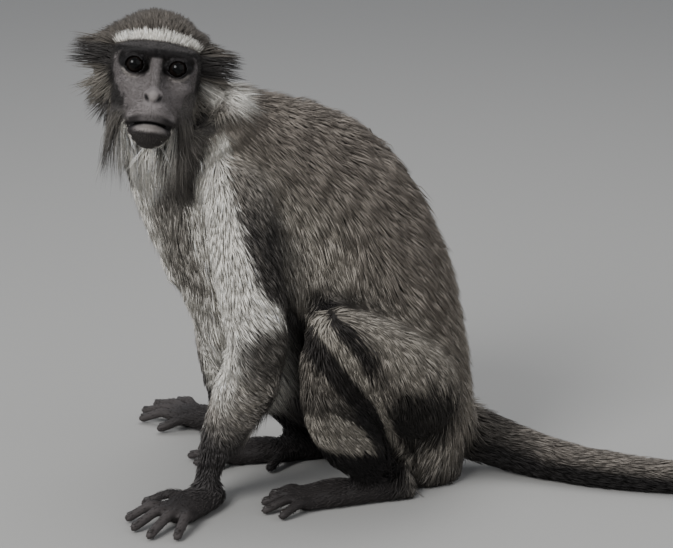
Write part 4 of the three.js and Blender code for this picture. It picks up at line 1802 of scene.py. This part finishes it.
    def _colours(self, g: Growth, shared: Array) -> Array:
        """Colours the locks from root to tip, some brighter than others.

        Args:
            g: the growth of each lock.
            shared: a number that each lock has in common with its clump.

        Returns:
            A colour for each point of each lock.
        """
        n, share = len(shared), self.lock.share()
        base = mix(g.root[:, None, :], g.tip[:, None, :], np.broadcast_to(share**0.7, (n, len(share))))
        own = self.rng.normal(0, 1, n)
        bright = np.exp(np.clip(g.uneven * (0.5 * shared + 0.7 * own), -1.2, 1.0))
        flicker = 1 + 0.25 * self.rng.normal(0, 1, n)[:, None] * np.where(share > 0.9, 1.0, 0.25)
        return base * bright[:, None, None] * np.clip(flicker, 0.35, 1.8)[..., None]

    def grow(self, patch: Patch) -> Thing:
        """Makes one piece of the coat.

        Args:
            patch: where it grows and how many locks it has.

        Returns:
            The piece, one mesh with its colours and its map.
        """
        roots, normals, area = self._scatter(patch)
        g = self.pelt.read(roots)
        g.length = g.length * self.rng.uniform(0.72, 1.18, len(roots))
        lines, outs, kept = self._comb(roots, normals, g)
        neck = self.pelt.skeleton.shares(g.weight, Part.NECK)
        kept = (kept & self._open(roots, normals)) | (np.maximum(g.head, neck) > 0.3)
        roots, normals, lines, outs, g = roots[kept], normals[kept], lines[kept], outs[kept], g.pick(kept)
        n = len(roots)
        shown = self.pelt.read(lines[:, 1:-1].mean(1))
        g.tip, g.root = shown.tip, shown.root
        spacing = self.clump_size * float(g.length.mean())
        shared = self._clump(lines, max(n * spacing**2 / max(area, 1e-9), 1.0))
        lines[:, 0] -= normals * self.sunk
        points = self._blades(lines, outs, g.width * self.rng.uniform(0.7, 1.25, n))
        first = (np.arange(n) * points.shape[1])[:, None, None]
        faces = (self.lock.faces()[None] + first).reshape(-1, 3)
        piece = mesh_object(patch.name, points.reshape(-1, 3), faces)
        paint(piece, self._colours(g, shared).reshape(-1, 3))
        self._map(piece, self._unwrap_head(roots) if patch.on_head else self._unwrap(roots, g))
        return piece

    def _map(self, piece: Thing, middle: Array) -> None:
        """Gives the piece its map, where each lock is a small patch at its root's place.

        Args:
            piece: the piece of coat.
            middle: the place of each lock's root on the map.
        """
        share = self.lock.share()
        local = np.zeros((len(share), 2))
        local[:-1, 0] = np.tile([-0.5, 0.5, 0.0], self.lock.segments)
        local[:, 1] = share - 0.5
        middle = np.clip(middle, 0.004, 0.996)
        uv = (middle[:, None] + local[None] * self.patch_size).reshape(-1, 2)
        layer = piece.data.uv_layers.new(name="OFBake")
        corner = np.empty(len(piece.data.loops), np.int32)
        piece.data.loops.foreach_get("vertex_index", corner)
        layer.data.foreach_set("uv", uv[corner].astype(np.float32).ravel())


# ---------------------------------------------------------------- eyes and nails
@dataclass
class Eyes:
    """The eyeballs, each with a bulging clear front over a dark iris; lengths in millimetres."""

    head: HeadFrame
    radius: float = 9.0
    iris: float = 7.0
    pupil: float = 3.4
    bulge: float = 1.1
    gaze: Triple = (1.0, 0.0, 0.02)
    ball_colour: Array = tint(28, 24, 22)
    rim_colour: Array = tint(10, 8, 7)
    iris_colour: Array = tint(16, 11, 9)
    pupil_colour: Array = tint(3, 3, 3)

    def build(self, side: int) -> Thing:
        """Makes one eye in its socket.

        Args:
            side: 1 for the left eye, -1 for the right.

        Returns:
            The eye.
        """
        name = "left_eyeball" if side > 0 else "right_eyeball"
        sphere = bpy.ops.mesh.primitive_uv_sphere_add
        ball = started(sphere, name, segments=64, ring_count=48, radius=1.0)
        d = points_of(ball)
        look = unit(np.array(self.gaze))
        angle = np.arccos(np.clip(d @ UP, -1, 1))
        reach = self.radius * np.sin(np.minimum(angle, math.pi / 2))
        rise = self.bulge * np.cos(np.clip(reach / (self.iris * 1.06), 0, 1) * math.pi / 2) ** 1.4
        d = d * (self.radius + np.where(angle < math.pi / 2, rise, 0))[:, None]
        aside = unit(np.cross(UP, look))
        q = d @ np.array([aside, np.cross(look, aside), look])
        q += [self.head.eye_forward, side * self.head.eye_half, self.head.eye_up]
        set_points(ball, self.head.outside(q))
        colour = layered(
            self.ball_colour,
            (self.rim_colour, ease(reach, self.iris * 1.3, self.iris * 1.02)),
            (self.iris_colour, ease(reach, self.iris, self.iris * 0.86)),
            (self.pupil_colour, ease(reach, self.pupil * 1.12, self.pupil)),
        )
        colour[angle > 1.4] = self.rim_colour
        paint(ball, colour)
        smooth_over(ball.data)
        return ball


@dataclass
class Nails:
    """The flat dark nails at the ends of fingers and toes; lengths in millimetres."""

    skeleton: Skeleton
    length: float = 5.2
    width: float = 4.4
    curve: float = 0.9
    thickness: float = 0.7
    behind_tip: float = 5.5
    colour: Array = tint(46, 42, 40)

    def _plate(self, way: Array, top: Array, normal: Array) -> Thing:
        """Makes one nail.

        Args:
            way: the digit's direction.
            top: the place on the skin under the nail.
            normal: the skin's outward direction there.

        Returns:
            The nail.
        """
        plate = started(bpy.ops.mesh.primitive_grid_add, x_subdivisions=6, y_subdivisions=6, size=1.0)
        d = points_of(plate)
        round_end = 1 - 0.35 * ease(d[:, 0], 0.1, 0.5)
        up = unit(UP + 0.5 * normal)
        along = unit(way - up * (way @ up))
        across = np.cross(up, along)
        q = d[:, :1] * along * self.length + d[:, 1:2] * across * (self.width * round_end)[:, None]
        q += up * (0.5 - self.curve * 4 * d[:, 1:2] ** 2 - 1.2 * np.maximum(d[:, :1], 0) ** 2)
        set_points(plate, top + q * MM)
        work(plate, "SOLIDIFY", thickness=self.thickness * MM, offset=0.0)
        work(plate, "SUBSURF", levels=1, render_levels=1)
        return plate

    def build(self, name: str, skin: Thing) -> Thing:
        """Makes the five nails of one hand or foot as one piece.

        Args:
            name: which hand or foot.
            skin: the skin that the nails sit on.

        Returns:
            The piece.
        """
        made = []
        for tip in self.skeleton.tips[name]:
            way = unit((tip - self.skeleton.joints[name]) * [1, 1, 0])
            spot = tip - way * self.behind_tip * MM
            hit, top, normal, _ = skin.ray_cast(Vector((spot[0], spot[1], 0.05)), Vector((0, 0, -1)))
            if hit:
                made.append(self._plate(way, np.array(top), np.array(normal)))
        select_only(*made)
        bpy.ops.object.join()
        nails = bpy.context.view_layer.objects.active
        nails.name = nails.data.name = name + "_nails"
        bpy.ops.object.shade_smooth()
        paint(nails, np.tile(self.colour, (len(nails.data.vertices), 1)))
        return nails


# ---------------------------------------------------------------- finishes
def add_node(
    tree: bpy.types.NodeTree, kind: str, inputs: dict[str | int, object], **settings: object
) -> bpy.types.Node:
    """Adds a node to a tree.

    Args:
        tree: the node tree.
        kind: which node.
        inputs: for some inputs, the constant on it or the output that feeds it.
        settings: the node's own settings.

    Returns:
        The node.
    """
    node = tree.nodes.new(kind)
    for name, value in settings.items():
        setattr(node, name, value)
    for name, value in inputs.items():
        if isinstance(value, bpy.types.NodeSocket):
            tree.links.new(value, node.inputs[name])
        else:
            node.inputs[name].default_value = value
    return node


@dataclass(frozen=True)
class Finish:
    """A finish whose colour comes from the colours kept on the mesh."""

    name: str
    roughness: float = 0.6
    specular: float = 0.35
    coat: float = 0.0
    coat_roughness: float = 0.04
    grain: float = 0.1
    grain_size: float = 700.0
    relief: float = 0.0
    relief_size: float = 900.0
    relief_depth: float = 0.0006

    def make(self) -> bpy.types.Material:
        """Returns the material, its colour stirred by a fine grain and its surface by relief."""
        material = bpy.data.materials.new(self.name)
        material.use_nodes = True
        tree = material.node_tree
        tree.nodes.clear()
        kept = add_node(tree, "ShaderNodeAttribute", {}, attribute_name="coat")
        effect = tree.nodes.new("ShaderNodeGroup")
        effect.node_tree = Grain.group()
        effect.inputs["Size"].default_value = self.grain_size
        effect.inputs["Amount"].default_value = self.grain
        effect.inputs["Relief Size"].default_value = self.relief_size
        tree.links.new(kept.outputs["Color"], effect.inputs["Colour"])
        inputs = {
            "Base Color": effect.outputs["Colour"],
            "Roughness": self.roughness,
            "Specular IOR Level": self.specular,
            "Coat Weight": self.coat,
            "Coat Roughness": self.coat_roughness,
        }
        if self.relief:
            height = effect.outputs["Relief"]
            bumps = {"Strength": self.relief, "Distance": self.relief_depth, "Height": height}
            inputs["Normal"] = add_node(tree, "ShaderNodeBump", bumps).outputs["Normal"]
        shader = add_node(tree, "ShaderNodeBsdfPrincipled", inputs)
        add_node(tree, "ShaderNodeOutputMaterial", {"Surface": shader.outputs["BSDF"]})
        return material


class Grain:
    """The grain that skin, coat and nails share: uneven colour, pores and fine folds."""

    built: bpy.types.NodeTree | None = None

    @classmethod
    def group(cls) -> bpy.types.NodeTree:
        """Returns the node group, made once."""
        if cls.built is not None:
            return cls.built
        tree = bpy.data.node_groups.new("animal grain", "ShaderNodeTree")
        face = tree.interface
        face.new_socket("Colour", in_out="INPUT", socket_type="NodeSocketColor")
        for name in ("Size", "Amount", "Relief Size"):
            face.new_socket(name, in_out="INPUT", socket_type="NodeSocketFloat")
        face.new_socket("Colour", in_out="OUTPUT", socket_type="NodeSocketColor")
        face.new_socket("Relief", in_out="OUTPUT", socket_type="NodeSocketFloat")
        taken = tree.nodes.new("NodeGroupInput").outputs
        place = add_node(tree, "ShaderNodeTexCoord", {}).outputs["Object"]

        def sums(operation: str, first: object, second: object) -> bpy.types.NodeSocket:
            """Returns the result of one calculation with two numbers."""
            inputs = {0: first, 1: second}
            return add_node(tree, "ShaderNodeMath", inputs, operation=operation).outputs[0]

        fine = {"Detail": 3.0, "Vector": place, "Scale": taken["Size"]}
        fine = add_node(tree, "ShaderNodeTexNoise", fine).outputs["Fac"]
        bright = sums("ADD", sums("MULTIPLY", sums("SUBTRACT", fine, 0.5), taken["Amount"]), 1.0)
        stirred = {0: taken["Colour"], "Scale": bright}
        stirred = add_node(tree, "ShaderNodeVectorMath", stirred, operation="SCALE").outputs["Vector"]
        pores = {"Vector": place, "Scale": taken["Relief Size"]}
        pores = add_node(tree, "ShaderNodeTexVoronoi", pores, feature="F1").outputs["Distance"]
        folds = {"Detail": 4.0, "Scale": 260.0, "Vector": place}
        folds = add_node(tree, "ShaderNodeTexNoise", folds).outputs["Fac"]
        add_node(tree, "NodeGroupOutput", {"Colour": stirred, "Relief": sums("ADD", pores, folds)})
        cls.built = tree
        return tree


COAT = Finish("hair", specular=0.14, grain=0.35, grain_size=900.0)
SKIN = Finish(
    "dark skin", roughness=0.58, specular=0.14, grain=0.35, grain_size=450.0, relief=0.25, relief_size=800.0
)
EYE = Finish("wet eye", roughness=0.7, specular=0.03, coat=0.25)
NAIL = Finish("nail", roughness=0.35, specular=0.5, grain=0.4, grain_size=500.0, relief=0.1)


def dress(piece: Thing, material: bpy.types.Material) -> None:
    """Gives the piece one material."""
    piece.data.materials.clear()
    piece.data.materials.append(material)


# ---------------------------------------------------------------- floor, light and camera
@dataclass
class Studio:
    """A pale floor, soft light and the camera."""

    floor_colour: Array = tint(160, 159, 156)
    floor_size: float = 16.0
    floor_drop: float = 0.4 * MM
    camera_at: Triple = (-0.4154, -1.5360, 0.6268)
    look_at: Triple = (-0.0756, 0.0625, 0.1583)
    lens: float = 108.26
    film: float = 36.0
    sky: Triple = (0.9, 0.93, 1.0)
    sky_strength: float = 0.55

    def floor(self) -> Thing:
        """Returns the floor, a wide flat sheet just under the animal."""
        sheet = started(bpy.ops.mesh.primitive_plane_add, "studio_floor", size=1.0)
        wide = [self.floor_size, self.floor_size, 0.0]
        set_points(sheet, points_of(sheet) * wide - self.floor_drop * UP)
        material = bpy.data.materials.new("pale floor")
        material.use_nodes = True
        shader = material.node_tree.nodes["Principled BSDF"]
        shader.inputs["Base Color"].default_value = (*self.floor_colour, 1.0)
        shader.inputs["Roughness"].default_value = 0.9
        shader.inputs["Specular IOR Level"].default_value = 0.15
        dress(sheet, material)
        return sheet

    def aimed(self, name: str, data: bpy.types.ID, at: Triple) -> Thing:
        """Places a lamp or camera that faces the animal.

        Args:
            name: its name.
            data: the lamp or camera.
            at: where it stands.

        Returns:
            Its object.
        """
        thing = place(name, data)
        thing.location = at
        thing.rotation_euler = (Vector(self.look_at) - Vector(at)).to_track_quat("-Z", "Y").to_euler()
        return thing

    def lamp(self, name: str, at: Triple, side: float, watts: float) -> None:
        """Hangs a square lamp that faces the animal.

        Args:
            name: the lamp's name.
            at: where it hangs.
            side: length of its side.
            watts: its power.
        """
        light = bpy.data.lights.new(name, "AREA")
        light.shape = "SQUARE"
        light.size = side
        light.energy = watts
        self.aimed(name, light, at)

    def build(self) -> None:
        """Sets up floor, lamps, sky and camera."""
        self.floor()
        self.lamp("key", (-1.7, -1.5, 1.7), 1.1, 66.0)
        self.lamp("fill", (1.4, -1.6, 1.2), 2.4, 12.0)
        self.lamp("top", (0.2, 0.5, 2.2), 1.6, 18.0)
        world = bpy.data.worlds.new("room")
        world.use_nodes = True
        shade = world.node_tree.nodes["Background"]
        shade.inputs["Color"].default_value = (*self.sky, 1.0)
        shade.inputs["Strength"].default_value = self.sky_strength
        bpy.context.scene.world = world
        camera = bpy.data.cameras.new("camera")
        camera.lens = self.lens
        camera.sensor_width = self.film
        camera.clip_end = 50.0
        bpy.context.scene.camera = self.aimed("camera", camera, self.camera_at)


def main() -> None:
    """Builds the monkey piece by piece and reports each one."""
    logging.basicConfig(level=logging.INFO, format="%(name)s: %(message)s")
    Studio().build()
    skeleton, head = Skeleton(), HeadFrame()
    maker = BodySkin(skeleton, head)
    skin = maker.build()
    coat = Coat(skin, Pelt(skeleton, head))
    paint(skin, coat.growth.skin)
    dress(skin, SKIN.make())
    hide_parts(*maker.flesh())
    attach(skin, "root")
    LOG.info("skin: %d faces", len(skin.data.polygons))
    hair = COAT.make()
    for patch in coat.patches():
        piece = coat.grow(patch)
        dress(piece, hair)
        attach(piece, "root")
        LOG.info("%s: %d triangles", piece.name, len(piece.data.polygons))
    wet = EYE.make()
    for side, node in ((1, "left_eye"), (-1, "right_eye")):
        ball = Eyes(head).build(side)
        dress(ball, wet)
        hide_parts(node)
        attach(ball, "root")
        LOG.info("%s set in its socket", ball.name)
    horn = NAIL.make()
    for name in skeleton.tips:
        nails = Nails(skeleton).build(name, skin)
        dress(nails, horn)
        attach(nails, "root")
        LOG.info("%s: %d faces", nails.name, len(nails.data.polygons))
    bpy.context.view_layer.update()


if __name__ == "__main__":
    main()
